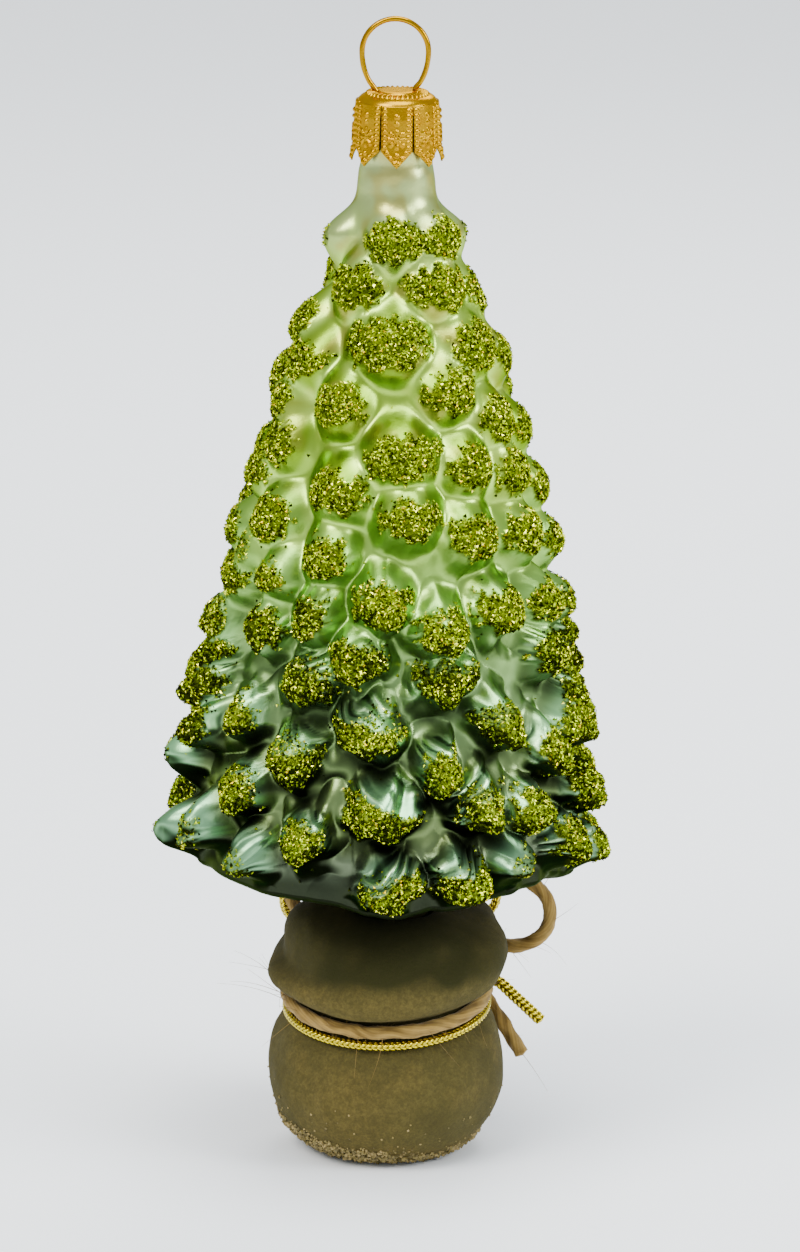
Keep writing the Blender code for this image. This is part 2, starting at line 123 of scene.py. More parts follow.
# Low knobs: where they begin, how much steeper they are above, their corners and how far they lean
FLANK_SPAN = (104, 78)
FLANK_ABOVE = 1.05
KNOB_CORNERS = 1.7
KNOB_LEAN = 0.45

# Skin: where it gets rough, with warps, folds and ripples
ROUGH_SPAN = (112, 78)
WARP = 0.55
FOLD_DEPTH = 0.9
SKIN_RIPPLE = 0.1
HEM_SPAN = (54, 48.5)
HEM_RIPPLE = 0.3

# Painted shade of the skin: the crescent under a knob as shares of its half width across and down, how
# tall it is and where there is one, the hem's painted shade, the width of the painted highlight along
# creases, where the painted dusk falls and the least of it
SHADE_PLACE = (0.95, 1.15)
SHADE_HEIGHT = 2.4
SHADE_SPAN = (112, 76)
HEM_SHADE = 0.84
CREASE_HIGHLIGHT_WIDTH = 2.9
DUSK_SPAN = (60, 118)
LEAST_DUSK = 0.15
GLASS_FIELDS = ("valley", "crease", "under", "needle", "glue")

# Pieces of the crown: name, lowest and highest row, how many rows, the tiers it stands for, slot
CROWN_BANDS = (
    ("branch_tips_low", CROWN_RIM, 66, 100, (1, 2, 3), "lacquered_skirt"),
    ("branch_tips_middle", 66, 96, 112, (4, 5, 6), "lacquered_skirt"),
    ("branch_tips_high", 96, CROWN_TOP, 136, (7, 8, 9, 10), "lacquered_crown"),
)
CROWN_COLUMNS = 720

# Pressed needles on the flanks of the low tips, and the seam of the mould
NEEDLE_PITCH = 1.5
NEEDLE_DEPTH = 0.34
NEEDLE_SPAN = (98, 80)
MOULD_SEAM_ANGLE = -8.5
MOULD_SEAM_HEIGHT = 0.14
MOULD_SEAM_WIDTH = 0.22
MOULD_SEAM_SPAN = (78, 66)

# Patches of glitter: how tall one is as (share of its width, plus, most), how its oval's power varies,
# how wide the ones with a bare side are, and the ragged edge as (depth, size, seed)
PATCH_TALL = (0.13, 2.05, 0.6)
PATCH_POWER = (1.95, 0.3)
PATCH_LOW_SPAN = (62, 92)
BARE_WIDTHS = (9.5, 11.5)
BARE_EDGE = (0.4, 0.54)
PATCH_EDGE = ((0.13, 4.5, 4), (0.12, 2.0, 5), (0.07, 0.9, 6))

# Glitter: the small patches that are strewn thinly, flakes for each square millimetre on a patch and
# off it, the share of flakes turned dark as painted shade where shade is deep, and each colour with its
# share and its roughness
THIN_PATCH = 5
THIN_COVER = 0.55
GLUE_HEIGHT = 0.18
FLAKES_PER_AREA = 6.6
STRAY_FLAKES = 0.003
STRAY_TOP = 146
PAINTED_SHADE_FLAKES = 0.55
FLAKE_SIZE = (0.22, 0.42)
FLAKE_THICK = 0.4
FLAKE_LIFT = 0.16
FLAKE_COLOURS = (
    ("lime", 0.48, (0.290, 0.385, 0.006), 0.32),
    ("moss", 0.20, (0.10, 0.155, 0.0), 0.35),
    # Near-black flakes, also standing in as painted shade between the bright ones
    ("shade", 0.12, (0.008, 0.014, 0.0), 0.4),
    ("gold", 0.11, (0.77, 0.83, 0.015), 0.30),
    ("spark", 0.07, (1.0, 1.0, 0.10), 0.20),
    ("amber", 0.02, (0.52, 0.38, 0.0), 0.3),
)

# Neck, cap and ring: outlines as (radius, height), the dome's as (radius, drop), the neck's soft bands
# as (depth, height, width), beads as (way down, size) and the petals' flare as (way down, radius)
NECK_OUTLINE = ((6.25, 148.0), (6.1, 150.0), (5.9, 152.5), (5.6, 156.4), (5.35, 160.2), (5.3, 164.2))
NECK_SPACING = 0.3
NECK_STEP = 0.35
NECK_WALL = 0.9
NECK_COLUMNS = 96
NECK_BANDS = ((0.17, 158.2, 0.9), (-0.17, 155.6, 1.0))
CAP_TOP = 166.4
CAP_SHEET = 0.3
DOME_OUTLINE = ((0.0, 0.0), (2.6, 0.02), (3.0, 0.25), (3.3, 0.38), (4.4, 0.42), (5.0, 0.6), (5.6, 0.95),
                (6.0, 1.5), (6.15, 2.2), (6.15, 2.9))
DOME_COLUMNS = 320
DOME_RIBS = 36
DOME_RIB_SPAN = (3.1, 5.0)
PETALS = 8
PETAL_TOP = 164.9
PETAL_LENGTH = 9.3
PETAL_HALF_WIDTH = 2.38
PETAL_POINT = 2.4
PETAL_GRID = (80, 44)
EDGE_BEADS = 11
EDGE_BEAD_START = 0.6
EDGE_BEAD_PITCH = 0.8
EDGE_BEAD_INSET = 0.5
EDGE_BEAD = (0.38, 0.34)
MIDDLE_BEADS = ((1.5, 0.36), (2.5, 0.3), (7.3, 0.33), (8.4, 0.3))
MIDDLE_BEAD_HEIGHT = 0.28
STAR_PLACE = 4.9
STAR_BEAD = (0.34, 0.3)
STAR_RAYS = 8
PETAL_FLARE = ((0.0, 6.17), (2.0, 6.4), (5.5, 6.5), (9.3, 6.85))
RING_RADIUS = 5.0
RING_WIRE = 0.42
RING_POINTS = 25
WIRE_COLUMNS = 20
RING_CENTRE = (-0.4, 172.2)
RING_DROP = 7.1
RING_OPEN_ANGLE = 38
LEG_X = 2.95
LEG_ROUTE = ((LEG_X, 0, CAP_TOP - 0.9), (LEG_X, 0, 163.0), (3.4, 0, 159.5), (3.5, 0, 156.5))

# Sack: outlines as (radius, height) before the tilt, and the ball's folds as (depth, angle, width)
BALL_OUTLINE = ((9.0, 0), (12.8, 1.5), (16.0, 4.8), (17.9, 9.0), (18.3, 13.3), (17.8, 16.8), (16.6, 20.0),
                (14.6, 22.6), (14.0, 24.0), (13.2, 25.6))
COLLAR_OUTLINE = ((13.2, 23.2), (14.0, 24.3), (14.1, 26.0), (15.6, 27.0), (17.7, 28.4), (18.7, 30.6),
                  (18.1, 33.2), (15.5, 35.8), (11.6, 37.6), (8.6, 38.4), (7.4, 38.3))
COLLAR_BORE = 7.8
SACK_COLUMNS = 300
SACK_SPACING = 0.3
BALL_FOLDS = ((0.22, -0.52, 0.11), (0.16, 0.62, 0.16), (-0.14, -0.3, 0.1))
COLLAR_LOBES = 5
COLLAR_LOBE_TURN = 0.6
COLLAR_LOBE_HEIGHT = 0.45
COLLAR_SWELLS = (14.5, 17.5)
TRUNK_OUTLINE = ((7.6, 30.0), (6.5, 33.0), (6.3, 37.0), (6.5, 39.6), (7.6, 41.0), (9.6, 41.7))
SACK_TILT_FORWARD = 0.16
SACK_TILT_SIDE = 0.027
COLLAR_TILT_SIDE = 0.086
TILT_COMES = (8.0, 18.0)
TILT_GOES = (33.0, 38.4)
SIDE_TILT_CHANGES = (26.5, 30.5)
TILT_COMES_OUTWARD = (COLLAR_BORE, 13.8)

# Grit on the foot: how high it reaches on the axis, how that changes to the right and to the back,
# how much lies above that, and its crumbs
GRIT_TOP = (4.9, -0.118, 0.13)
GRIT_ABOVE = 0.045
CRUMBS = 4200
CRUMB_SIZE = (0.15, 0.44)
CRUMB_THICK = 0.8
CRUMB_LUMP = 0.35
GRIT_COLOURS = (
    ("tan", (0.36, 0.26, 0.085)), ("ochre", (0.24, 0.18, 0.045)), ("brown", (0.15, 0.112, 0.028)),
)

# Ties: the radius of each cord by the part of the tie, a band's radius and height on the sack before
# its tilt and its number of points, a knot's middle and reach and how far its turns lean
CORD_RADIUS = {
    "jute": {"band": 1.0, "loop": 1.08, "tail": 1.08, "knot": 0.85},
    "gold": {"band": 0.71, "loop": 0.7455, "tail": 0.9585, "knot": 0.55},
}
BANDS = {"jute": (15.45, 25.2, 420), "gold": (15.5, 23.0, 760)}
KNOTS = {"jute": ((0.0, 18.4, 28.6), 1.05, 1.0), "gold": ((0.0, 17.8, 24.2), 0.75, 0.6)}

# Ties: the distance of a cord's points and how many stand round it, and the length of one twist of
# the jute, when it runs free and in a closed turn, and of a stitch of the gold
CORD_SPACING = {"jute": 0.24, "gold": 0.13}
JUTE_COLUMNS = 48
GOLD_COLUMNS = 36
JUTE_TWIST = 15.0
JUTE_CLOSED_TWIST = 24.0
GOLD_STITCH = 0.86

# Stray fibres: how many, how long, how thick, how much they turn outward, and the pull on them
HAIR_POINTS = 7
HAIR_SAG = 0.12
FUZZ = (520, (0.8, 2.8), 0.04, 0.0, (0, 0, 0))
LONG_HAIRS = (60, (4.0, 9.0), 0.06, 0.8, (0, 0, 0))
LOOSE_HAIRS = (7, (7.0, 13.0), 0.06, 0.0, (-1.8, 0, 1.5))
LOOSE_FROM = -14.5

# Ties: the routes of loops and tails
ROUTES = {
    "jute_loop_right": (
        (2.8, 18.7, 28.4), (8, 19.7, 28.2), (14, 17.8, 28.1), (19, 13.8, 28.2), (22.4, 12.3, 29.2),
        (24.8, 12, 31.6), (25.3, 12, 34.6), (24, 12.6, 37.4), (21, 14, 39), (16.5, 16.2, 38.8),
        (11.5, 18.6, 36.4), (6.5, 19.8, 33.2), (2.5, 19.5, 31),
    ),
    "jute_loop_left": (
        (-2.8, 18.7, 28.4), (-7, 20.2, 28.7), (-12, 19.2, 30.8), (-15, 16.8, 34), (-15.2, 15.4, 37),
        (-12.4, 15.6, 38.8), (-8.6, 17.6, 37.2), (-5.2, 19.4, 34), (-2.5, 19.5, 31),
    ),
    "gold_loop_right": (
        (1.9, 18.1, 23.8), (4.2, 20.8, 24), (7, 22, 25.4), (11, 22.2, 28), (15.2, 20.2, 31.2),
        (17.0, 18.8, 34.4), (15.6, 19.6, 37.3), (11.5, 21.4, 38.4), (7.2, 22.6, 35.4), (3.4, 22.3, 29.5),
        (1.7, 20.9, 26.7), (0.9, 19.4, 25.1),
    ),
    "gold_loop_left": (
        (-1.9, 18.1, 23.8), (-4.2, 20.8, 24), (-7.2, 22, 25.6), (-11.4, 21.8, 28.2), (-15.4, 19, 31.2),
        (-16.4, 16.6, 34.8), (-15.7, 17.6, 38), (-12.2, 20.4, 39), (-7.4, 22.4, 36), (-3.4, 22.4, 29.8),
        (-1.7, 20.9, 26.7), (-0.9, 19.4, 25.1),
    ),
    "gold_tail_right": (
        (2.3, 17.6, 22.1), (7, 17.8, 22.5), (12.2, 15.1, 23.4), (16.8, 12.6, 23), (20.4, 11.6, 20.2),
        (24.1, 11, 16.9),
    ),
    "gold_tail_left": ((-1.9, 17.6, 22.1), (-3.2, 19.6, 20), (-3.2, 20.2, 15.4), (-2.2, 19.8, 10.4)),
    "jute_tail_right": (
        (2.9, 18.8, 26.1), (6.6, 19.8, 25), (11, 19.4, 22.6), (14.6, 16.6, 20), (17, 13.8, 17.5),
        (19.2, 12, 14.5), (21.2, 11, 11.4),
    ),
    "jute_tail_left": (
        (-2.9, 18.8, 26.1), (-6, 18.9, 24.4), (-7.4, 19.2, 20), (-7.2, 20, 15), (-6, 20.2, 9.8),
    ),
}

# Camera: its place, what it looks at, its roll to the right, and the lens for a 36 mm sensor
CAMERA_PLACE = (1.35, -1162.8, 379.5)
CAMERA_TARGET = (1.35, 0.0, 83.1)
CAMERA_ROLL = 0.69
CAMERA_LENS = 225.3

# Studio: half the floor in metres, and each light's place, size in degrees or metres, and power
FLOOR_REACH = 6.0
LIGHT_TARGET = (0, 0, 85.0)
LIGHTS = (
    ("key", (-420, -460, 760), "SUN", 30, 2.7, (1.0, 0.98, 0.94)),
    ("top", (60, -150, 900), "AREA", 0.6, 8.0, (0.97, 1.0, 1.0)),
    ("side", (620, -260, 420), "AREA", 0.35, 4.2, (0.94, 0.97, 1.0)),
    ("back", (120, 620, 560), "AREA", 0.45, 3.0, (1.0, 1.0, 1.0)),
)


# Curves and fields


def eased(value, span):
    """0 at the span's first value to 1 at its second, with level ends."""
    amount = np.clip((value - span[0]) / (span[1] - span[0]), 0, 1)
    return amount * amount * (3 - 2 * amount)


def hill(offset, width):
    """A soft bump of height 1: exp(-(offset / width)^2)."""
    return np.exp(-((offset / width) ** 2))


def swell(angle, place, width):
    """A hill round the axis, at the angle place: exp(-(way round / width)^2)."""
    return hill(wrapped(angle - place), width)


def varied(number, step):
    """A value from -1 to 1 that differs from one number to the next: sin(step * number)."""
    return np.sin(step * number)


def table_value(table, height):
    """The value at a height, between the rows of a table of (height, value)."""
    heights, values = zip(*sorted(table))
    return np.interp(height, heights, values)


def wrapped(angle):
    """The same direction as an angle from -pi to pi."""
    return (angle + math.pi) % TURN - math.pi


def ripple(points, wavelength, seed):
    """Soft noise between about -1 and 1: a sum of plane waves in random directions."""
    chance = np.random.default_rng(seed)
    field = 0
    for _ in range(RIPPLE_WAVES):
        direction = chance.normal(size=points.shape[-1])
        direction *= TURN / (wavelength * chance.uniform(0.7, 1.5) * np.linalg.norm(direction))
        field = field + np.sin(points @ direction + chance.uniform(0, TURN))
    return field / math.sqrt(RIPPLE_WAVES)


def smooth_route(points, spacing, closed=False):
    """Evenly spaced points on a Catmull-Rom curve through the given ones."""
    knots = np.array(points, float)
    if closed:
        knots = np.vstack((knots[-1], knots, knots[:2]))
    else:
        knots = np.vstack((2 * knots[0] - knots[1], knots, 2 * knots[-1] - knots[-2]))
    t = np.linspace(0, 1, ROUTE_STEPS, endpoint=False)[:, None]
    runs = []
    for a, b, c, d in zip(knots, knots[1:], knots[2:], knots[3:]):
        square = (2 * a - 5 * b + 4 * c - d) * t**2
        cube = (3 * b - a - 3 * c + d) * t**3
        runs.append((2 * b + (c - a) * t + square + cube) / 2)
    fine = np.vstack((*runs, knots[-2]))
    along = np.concatenate(([0], np.cumsum(np.linalg.norm(np.diff(fine, axis=0), axis=1))))
    stations = np.linspace(0, along[-1], max(4, round(along[-1] / spacing) + 1))
    route = np.stack([np.interp(stations, along, fine[:, axis]) for axis in range(fine.shape[1])], axis=1)
    return route[:-1] if closed else route


def unit(vectors):
    """Vectors made one long."""
    return vectors / np.maximum(np.linalg.norm(vectors, axis=-1, keepdims=True), 1e-9)


# Grids: rows of points that run round something, each row over the one before


def ring_angles(count, start=-math.pi):
    """Evenly spaced angles once round, without the end that would meet the start."""
    return np.linspace(start, start + TURN, count, endpoint=False)


def round_axis(angle, radius, height, lean=0.0):
    """Points round the axis: (lean + radius * sin(angle), -radius * cos(angle), height)."""
    parts = (lean + radius * np.sin(angle), -radius * np.cos(angle), height)
    return np.stack(np.broadcast_arrays(*parts), axis=-1)


def turned(profile, columns):
    """Rings of points for a profile of (radius, height) turned round the axis."""
    radius, height = profile.T[:, :, None]
    return round_axis(ring_angles(columns), radius, height)


def grid_normals(grid):
    """Outward normals of a grid, from the ways round and up at each of its points."""
    around = np.roll(grid, -1, axis=1) - np.roll(grid, 1, axis=1)
    return unit(np.cross(around, np.gradient(grid, axis=0)))


def cell_edges(grid):
    """The way along and the way up from the first corner of each cell of a grid."""
    return (np.roll(grid, -1, axis=1) - grid)[:-1], grid[1:] - grid[:-1]


def in_cells(grid, edges, cells, along, upward):
    """Points in cells of a grid: first corner + along * edge along + upward * edge up."""
    return grid[cells] + along * edges[0][cells] + upward * edges[1][cells]


def with_hubs(field, value):
    """A field's values, and value for each of the two hubs that close a skin."""
    return np.append(field.ravel(), (value, value))


# Meshes: a shape is its points, its four-cornered faces and its triangles


def grid_quads(rows, columns, close_rows=False):
    """The four corners of every cell of a grid of points that is counted row by row."""
    row = np.arange(rows if close_rows else rows - 1)[:, None] * columns
    above = (row + columns) % (rows * columns)
    column = np.arange(columns)
    beside = (column + 1) % columns
    corners = (row + column, row + beside, above + beside, above + column)
    return np.stack(corners, axis=-1).reshape(-1, 4)


def lofted(grid, low_hub=None, high_hub=None, close_rows=False):
    """A skin over rings of points. A hub closes its end of the skin with a fan of triangles."""
    rows, columns, _ = grid.shape
    points = grid.reshape(-1, 3)
    quads = grid_quads(rows, columns, close_rows)
    ring = np.arange(columns)
    after = (ring + 1) % columns
    fans = []
    for hub, first, flip in ((low_hub, 0, True), (high_hub, (rows - 1) * columns, False)):
        if hub is None:
            continue
        centre = np.full(columns, len(points))
        points = np.vstack((points, np.asarray(hub, float)))
        sides = (after, ring) if flip else (ring, after)
        fans.append(np.stack((first + sides[0], first + sides[1], centre), axis=-1))
    return points, quads, np.vstack(fans) if fans else np.empty((0, 3), int)


def joined(shapes):
    """One shape out of several."""
    starts = np.cumsum([0] + [len(points) for points, _, _ in shapes])
    points = np.vstack([shape[0] for shape in shapes])
    quads = np.vstack([np.reshape(shape[1], (-1, 4)) + start for shape, start in zip(shapes, starts)])
    triangles = np.vstack([np.reshape(shape[2], (-1, 3)) + start for shape, start in zip(shapes, starts)])
    return points, quads, triangles


def placed(name, data):
    """A new object of the scene that shows a mesh, a light or a camera."""
    made = bpy.data.objects.new(name, data)
    bpy.context.scene.collection.objects.link(made)
    return made


def add_piece(name, shape, finish, stands_for=(), level=None, fields=None, facets=False):
    """Writes a shape as an object that rides on the ornament and takes the place of frame nodes.

    level holds a normal for each point, where the skin goes on in a neighbouring piece. fields
    holds what the finish reads by name: a number for each point, or one for all of them.
    """
    points, quads, triangles = shape
    mesh = bpy.data.meshes.new(name)
    mesh.vertices.add(len(points))
    mesh.vertices.foreach_set("co", (points * MM).astype(np.float32).ravel())
    corners = np.concatenate((np.ravel(quads), np.ravel(triangles))).astype(np.int32)
    mesh.loops.add(len(corners))
    mesh.loops.foreach_set("vertex_index", corners)
    sizes = np.concatenate((np.full(len(quads), 4), np.full(len(triangles), 3)))
    mesh.polygons.add(len(sizes))
    mesh.polygons.foreach_set("loop_start", (np.cumsum(sizes) - sizes).astype(np.int32))
    mesh.update(calc_edges=True)
    mesh.polygons.foreach_set("use_smooth", np.full(len(sizes), not facets))
    for field, values in (fields or {}).items():
        attribute = mesh.attributes.new(field, "FLOAT", "POINT")
        attribute.data.foreach_set("value", np.full(len(points), np.ravel(values), np.float32))
    if level is not None:
        mesh.normals_split_custom_set_from_vertices(level.reshape(-1, 3))
    mesh.materials.append(finish)
    piece = placed(name, mesh)
    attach(piece, "root")
    if stands_for:
        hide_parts(*stands_for)


def meets(route):
    """Whether a route is a closed turn, with its last point one step from its first."""
    return np.linalg.norm(route[-1] - route[0]) < 2 * np.linalg.norm(route[1] - route[0])


def ring_tangents(route):
    """Unit vectors along a closed route, each from the point before to the one after."""
    return unit(np.roll(route, -1, axis=0) - np.roll(route, 1, axis=0))


def spokes(angle, side, other):
    """Unit vectors at angles from side towards other, for each point of a route."""
    return np.cos(angle)[:, None] * side[:, None] + np.sin(angle)[:, None] * other[:, None]


def travelling_frames(route):
    """Two unit vectors across the route at each of its points, turned as little as it allows."""
    if meets(route):
        tangent = ring_tangents(route)
        side = unit(np.cross(tangent, (0, 0, 1)))
        return side, np.cross(tangent, side)
    tangent = unit(np.gradient(route, axis=0))
    side = np.empty_like(route)
    side[0] = unit(np.cross(tangent[0], (0.1, 0.2, 1)))
    for station in range(1, len(route)):
        side[station] = side[station - 1] - tangent[station] * (side[station - 1] @ tangent[station])
        side[station] /= np.linalg.norm(side[station])
    return side, np.cross(tangent, side)


def swept(route, section):
    """Carries a section of radii along a route: section has a row for each point of the route.

    A tube with open ends is closed by hubs that stand out by TUBE_END of its radius.
    """
    around = spokes(ring_angles(section.shape[1], 0), *travelling_frames(route))
    grid = route[:, None] + section[..., None] * around
    if meets(route):
        return lofted(grid, close_rows=True)
    stub = TUBE_END * section.mean()
    low = route[0] - unit(route[1] - route[0]) * stub
    high = route[-1] + unit(route[-1] - route[-2]) * stub
    return lofted(grid, low, high)


def scattered(centres, normals, across, thick, seed, sides=4, lump=0.0):
    """Small bits at the centres, each turned at random: a flat pyramid on three sides, else a double one.

    across is each bit's half width and thick its height as a share of that. Its normal leans by
    BIT_TILT, and lump moves the corners, so that no two crumbs are alike.
    """
    chance = np.random.default_rng(seed)
    count = len(centres)
    ring = np.arange(sides)
    after = (ring + 1) % sides
    corners = [(math.cos(a), math.sin(a), 0) for a in TURN * ring / sides] + [(0, 0, thick)]
    faces = [(a, b, sides) for a, b in zip(ring, after)]
    if sides == 3:
        faces.append((2, 1, 0))
    else:
        corners.append((0, 0, -thick))
        faces += [(b, a, sides + 1) for a, b in zip(ring, after)]
    up = unit(normals + BIT_TILT * chance.normal(size=(count, 3)))
    side = unit(np.cross(up, chance.normal(size=(count, 3))))
    basis = np.stack((side, np.cross(up, side), up), axis=1)
    shape = np.array(corners)[None] * (1 + lump * chance.uniform(-1, 1, size=(count, len(corners), 1)))
    points = centres[:, None] + across[:, None, None] * (shape @ basis)
    triangles = np.array(faces)[None] + len(corners) * np.arange(count)[:, None, None]
    return points.reshape(-1, 3), np.empty((0, 4), int), triangles.reshape(-1, 3)


# Finishes


def operator(operation, reflected=False):
    """A method that makes a Math node of a value and its partner, the other way round if reflected."""

    def method(self, other):
        inputs = {0: other, 1: self} if reflected else {0: self, 1: other}
        return self.finish.node("ShaderNodeMath", inputs, operation=operation)

    return method


class Value:
    """A socket of a finish that can stand in sums and products."""

    def __init__(self, finish, socket):
        self.finish = finish
        self.socket = socket

    __add__ = operator("ADD")
    __radd__ = operator("ADD", reflected=True)
    __sub__ = operator("SUBTRACT")
    __rsub__ = operator("SUBTRACT", reflected=True)
    __mul__ = operator("MULTIPLY")
    __rmul__ = operator("MULTIPLY", reflected=True)
    __truediv__ = operator("DIVIDE")

    def between(self, low, high):
        """0 at low to 1 at high, with level ends."""
        inputs = {"Value": self, "From Min": low, "From Max": high}
        return self.finish.node("ShaderNodeMapRange", inputs, interpolation_type="SMOOTHSTEP")


class Finish:
    """A material with one Principled shader. Its uniform values are set on the shader's sockets."""

    def __init__(self, name, **uniform):
        self.material = bpy.data.materials.new(name)
        self.material.use_nodes = True
        self.tree = self.material.node_tree
        self.shader = self.tree.nodes["Principled BSDF"]
        for socket, value in uniform.items():
            self.set(**{socket: value})

    def plug(self, value, socket):
        """Links a Value to a socket, or sets the socket to a number or a colour."""
        if isinstance(value, Value):
            self.tree.links.new(value.socket, socket)
        elif socket.type == "RGBA" and len(value) == 3:
            socket.default_value = (*value, 1.0)
        else:
            socket.default_value = value

    def set(self, **sockets):
        """Plugs values into the shader: base_color is its Base Color, and so on."""
        for name, value in sockets.items():
            socket = name.replace("_", " ").title().replace("Ior", "IOR")
            self.plug(value, self.shader.inputs[socket])

    def node(self, kind, inputs=None, output=0, **settings):
        """Any node: its settings first, then its sockets' values or links. stops are a ramp's."""
        made = self.tree.nodes.new(kind)
        for name, value in settings.items():
            if name == "stops":
                for number, (place, colour) in enumerate(value):
                    stops = made.color_ramp.elements
                    stop = stops[number] if number < 2 else stops.new(place)
                    stop.position = place
                    stop.color = (*colour, 1.0)
            else:
                setattr(made, name, value)
        for name, value in (inputs or {}).items():
            self.plug(value, made.inputs[name])
        return Value(self, made.outputs[output])

    def place(self):
        """Where a point is, in metres from the centre of the foot."""
        return self.node("ShaderNodeTexCoord", output="Object")

    def height(self):
        """Height above the foot in millimetres."""
        return self.node("ShaderNodeSeparateXYZ", {0: self.place()}, output="Z") / MM

    def field(self, name):
        """What the mesh says at a point under a name."""
        return self.node("ShaderNodeAttribute", output="Fac", attribute_name=name)

    def noise(self, size, detail=2.0, roughness=0.5):
        """Noise around 0.5 whose blotches are about the given size in millimetres."""
        inputs = {"Vector": self.place(), "Scale": 1 / (size * MM), "Detail": detail, "Roughness": roughness}
        return self.node("ShaderNodeTexNoise", inputs)

    def blend(self, share, first, second):
        """first * (1 - share) + second * share, for two colours."""
        return self.node("ShaderNodeMix", {0: share, 6: first, 7: second}, output=2, data_type="RGBA")

    def layered(self, colour, *layers):
        """A colour under layers of (share, colour), each over all before it."""
        for share, over in layers:
            colour = self.blend(share, colour, over)
        return colour

    def bump(self, height, depth):
        """Relief from a field of 0 to 1 that is depth millimetres deep."""
        self.set(normal=self.node("ShaderNodeBump", {"Height": height, "Distance": depth * MM}))


def lacquered_glass():
    """Silvered glass under a satin lacquer that runs from pale silver at the neck to deep green.

    Over it lie an amber blush that is a painted reflection, olive lacquer with painted shade in the
    valleys, a painted highlight along the creases, painted shade in the needles' grooves and a painted
    highlight on their ridges, and painted shade under knobs. Where glue holds glitter there is a bed of
    fine specks instead, with painted shade under knobs too.
    """
    finish = Finish("silvered_green_lacquer", metallic=0.98, specular_tint=(0.47, 0.54, 0.36))
    stops = (
        (44, (0.160, 0.290, 0.170)), (60, (0.255, 0.535, 0.265)), (75, (0.325, 0.660, 0.270)),
        (90, (0.310, 0.590, 0.125)), (112, (0.172, 0.308, 0.009)), (127, (0.176, 0.298, 0.009)),
        (138, (0.258, 0.405, 0.033)), (146, (0.440, 0.560, 0.180)), (158, (0.425, 0.495, 0.200)),
    )
    low, high = stops[0][0], stops[-1][0]
    height = finish.height() + 6 * (finish.noise(14) - 0.5)
    ramp = [((place - low) / (high - low), colour) for place, colour in stops]
    dusk = 1 - height.between(*DUSK_SPAN)
    # Painted shade: under knobs, on faces that look down, above the hem and on the underside, stronger low
    # down
    under = finish.field("under") * (LEAST_DUSK + (1 - LEAST_DUSK) * dusk)
    needle = finish.field("needle")
    # An amber blush at random in the upper cells: a painted reflection of brownish surroundings
    painted_reflection = finish.noise(4.5, detail=1).between(0.45, 0.66) * height.between(90, 140)
    # Olive lacquer in the valleys between knobs, with painted shade in these hollows low on the crown
    olive = finish.blend(height.between(51, 57), (0.115, 0.112, 0.072), (0.130, 0.145, 0.034))
    shaded = finish.layered(
        finish.node("ShaderNodeValToRGB", {"Fac": (height - low) / (high - low)}, stops=ramp),
        (painted_reflection * 0.6, (0.38, 0.30, 0.06)),
        (finish.field("valley") * dusk * 0.8, olive),
        # Painted highlight along the creases, only high on the crown
        (finish.field("crease") * height.between(82, 108) * 0.72, (0.62, 0.95, 0.14)),
        # Painted shade in the needles' grooves and a painted highlight on their ridges
        ((-1 * needle).between(0.15, 0.9) * 0.85, (0.010, 0.024, 0.010)),
        (needle.between(0.3, 1.0) * 0.7, (0.66, 1.0, 0.50)),
        # Painted shade, near black
        (under, (0.002, 0.003, 0.001)),
    )
    bed = finish.layered(
        (0.15, 0.20, 0.01),
        (height.between(60, 104), (0.13, 0.185, 0.0)),
        (finish.noise(0.5, detail=3, roughness=0.7).between(0.35, 0.65), (0.012, 0.020, 0.0)),
        # Painted shade on the bed under knobs
        (under * 0.85, (0.006, 0.008, 0.0)),
    )
    glue = finish.field("glue")
    finish.set(
        base_color=finish.blend(glue, shaded, bed),
        roughness=0.27 + 0.06 * finish.noise(3) + 0.25 * glue + 0.2 * under,
    )
    finish.bump(finish.noise(1.3, detail=3), 0.04)
    return finish.material


def glitter(name, colour, roughness):
    """Plain metal that mirrors yellow-green at its edges too."""
    tint = (0.9, 0.85, 0.25)
    return Finish(name, base_color=colour, metallic=1.0, roughness=roughness, specular_tint=tint).material


def flocked():
    """Short olive-brown pile: cloudy, with painted golden glints, golden where it is worn and where a
    highlight is painted, dark where it was sprayed and in painted shade, and specked.
    """
    finish = Finish("olive_flock", specular_ior_level=0.15)
    mottle = finish.noise(1.3, detail=5, roughness=0.75).between(0.38, 0.62)
    hairs = finish.noise(0.4, detail=4, roughness=0.75)
    speckle = hairs.between(0.3, 0.7)
    pile = finish.layered(
        (0.067, 0.055, 0.0145),
        (finish.noise(7).between(0.3, 0.7), (0.089, 0.072, 0.0190)),
        # Golden blotches at random: painted glints on the pile
        (finish.noise(5, detail=3).between(0.5, 0.72) * 0.5, (0.135, 0.098, 0.024)),
        # Golden where worn, and painted highlight
        (finish.field("rub") * 0.6, (0.145, 0.105, 0.026)),
        (0.42 * (1 - mottle), (0.040, 0.034, 0.008)),
        # Dark spray on the collar's top, and painted shade at the waist and on the stem
        (finish.field("spray_and_shade"), (0.0200, 0.0210, 0.0036)),
        (0.55 * (1 - speckle), (0.024, 0.020, 0.005)),
    )
    finish.set(base_color=pile, roughness=0.88 + 0.1 * speckle)
    finish.bump(hairs, 0.16)
    return finish.material


def grit(name, colour):
    """Crumbs of sand that are darker in spots."""
    finish = Finish(name)
    grain = finish.noise(0.25, detail=3)
    finish.set(
        base_color=finish.blend(grain.between(0.3, 0.7), tuple(0.65 * part for part in colour), colour),
        roughness=0.6 + 0.25 * grain,
    )
    return finish.material


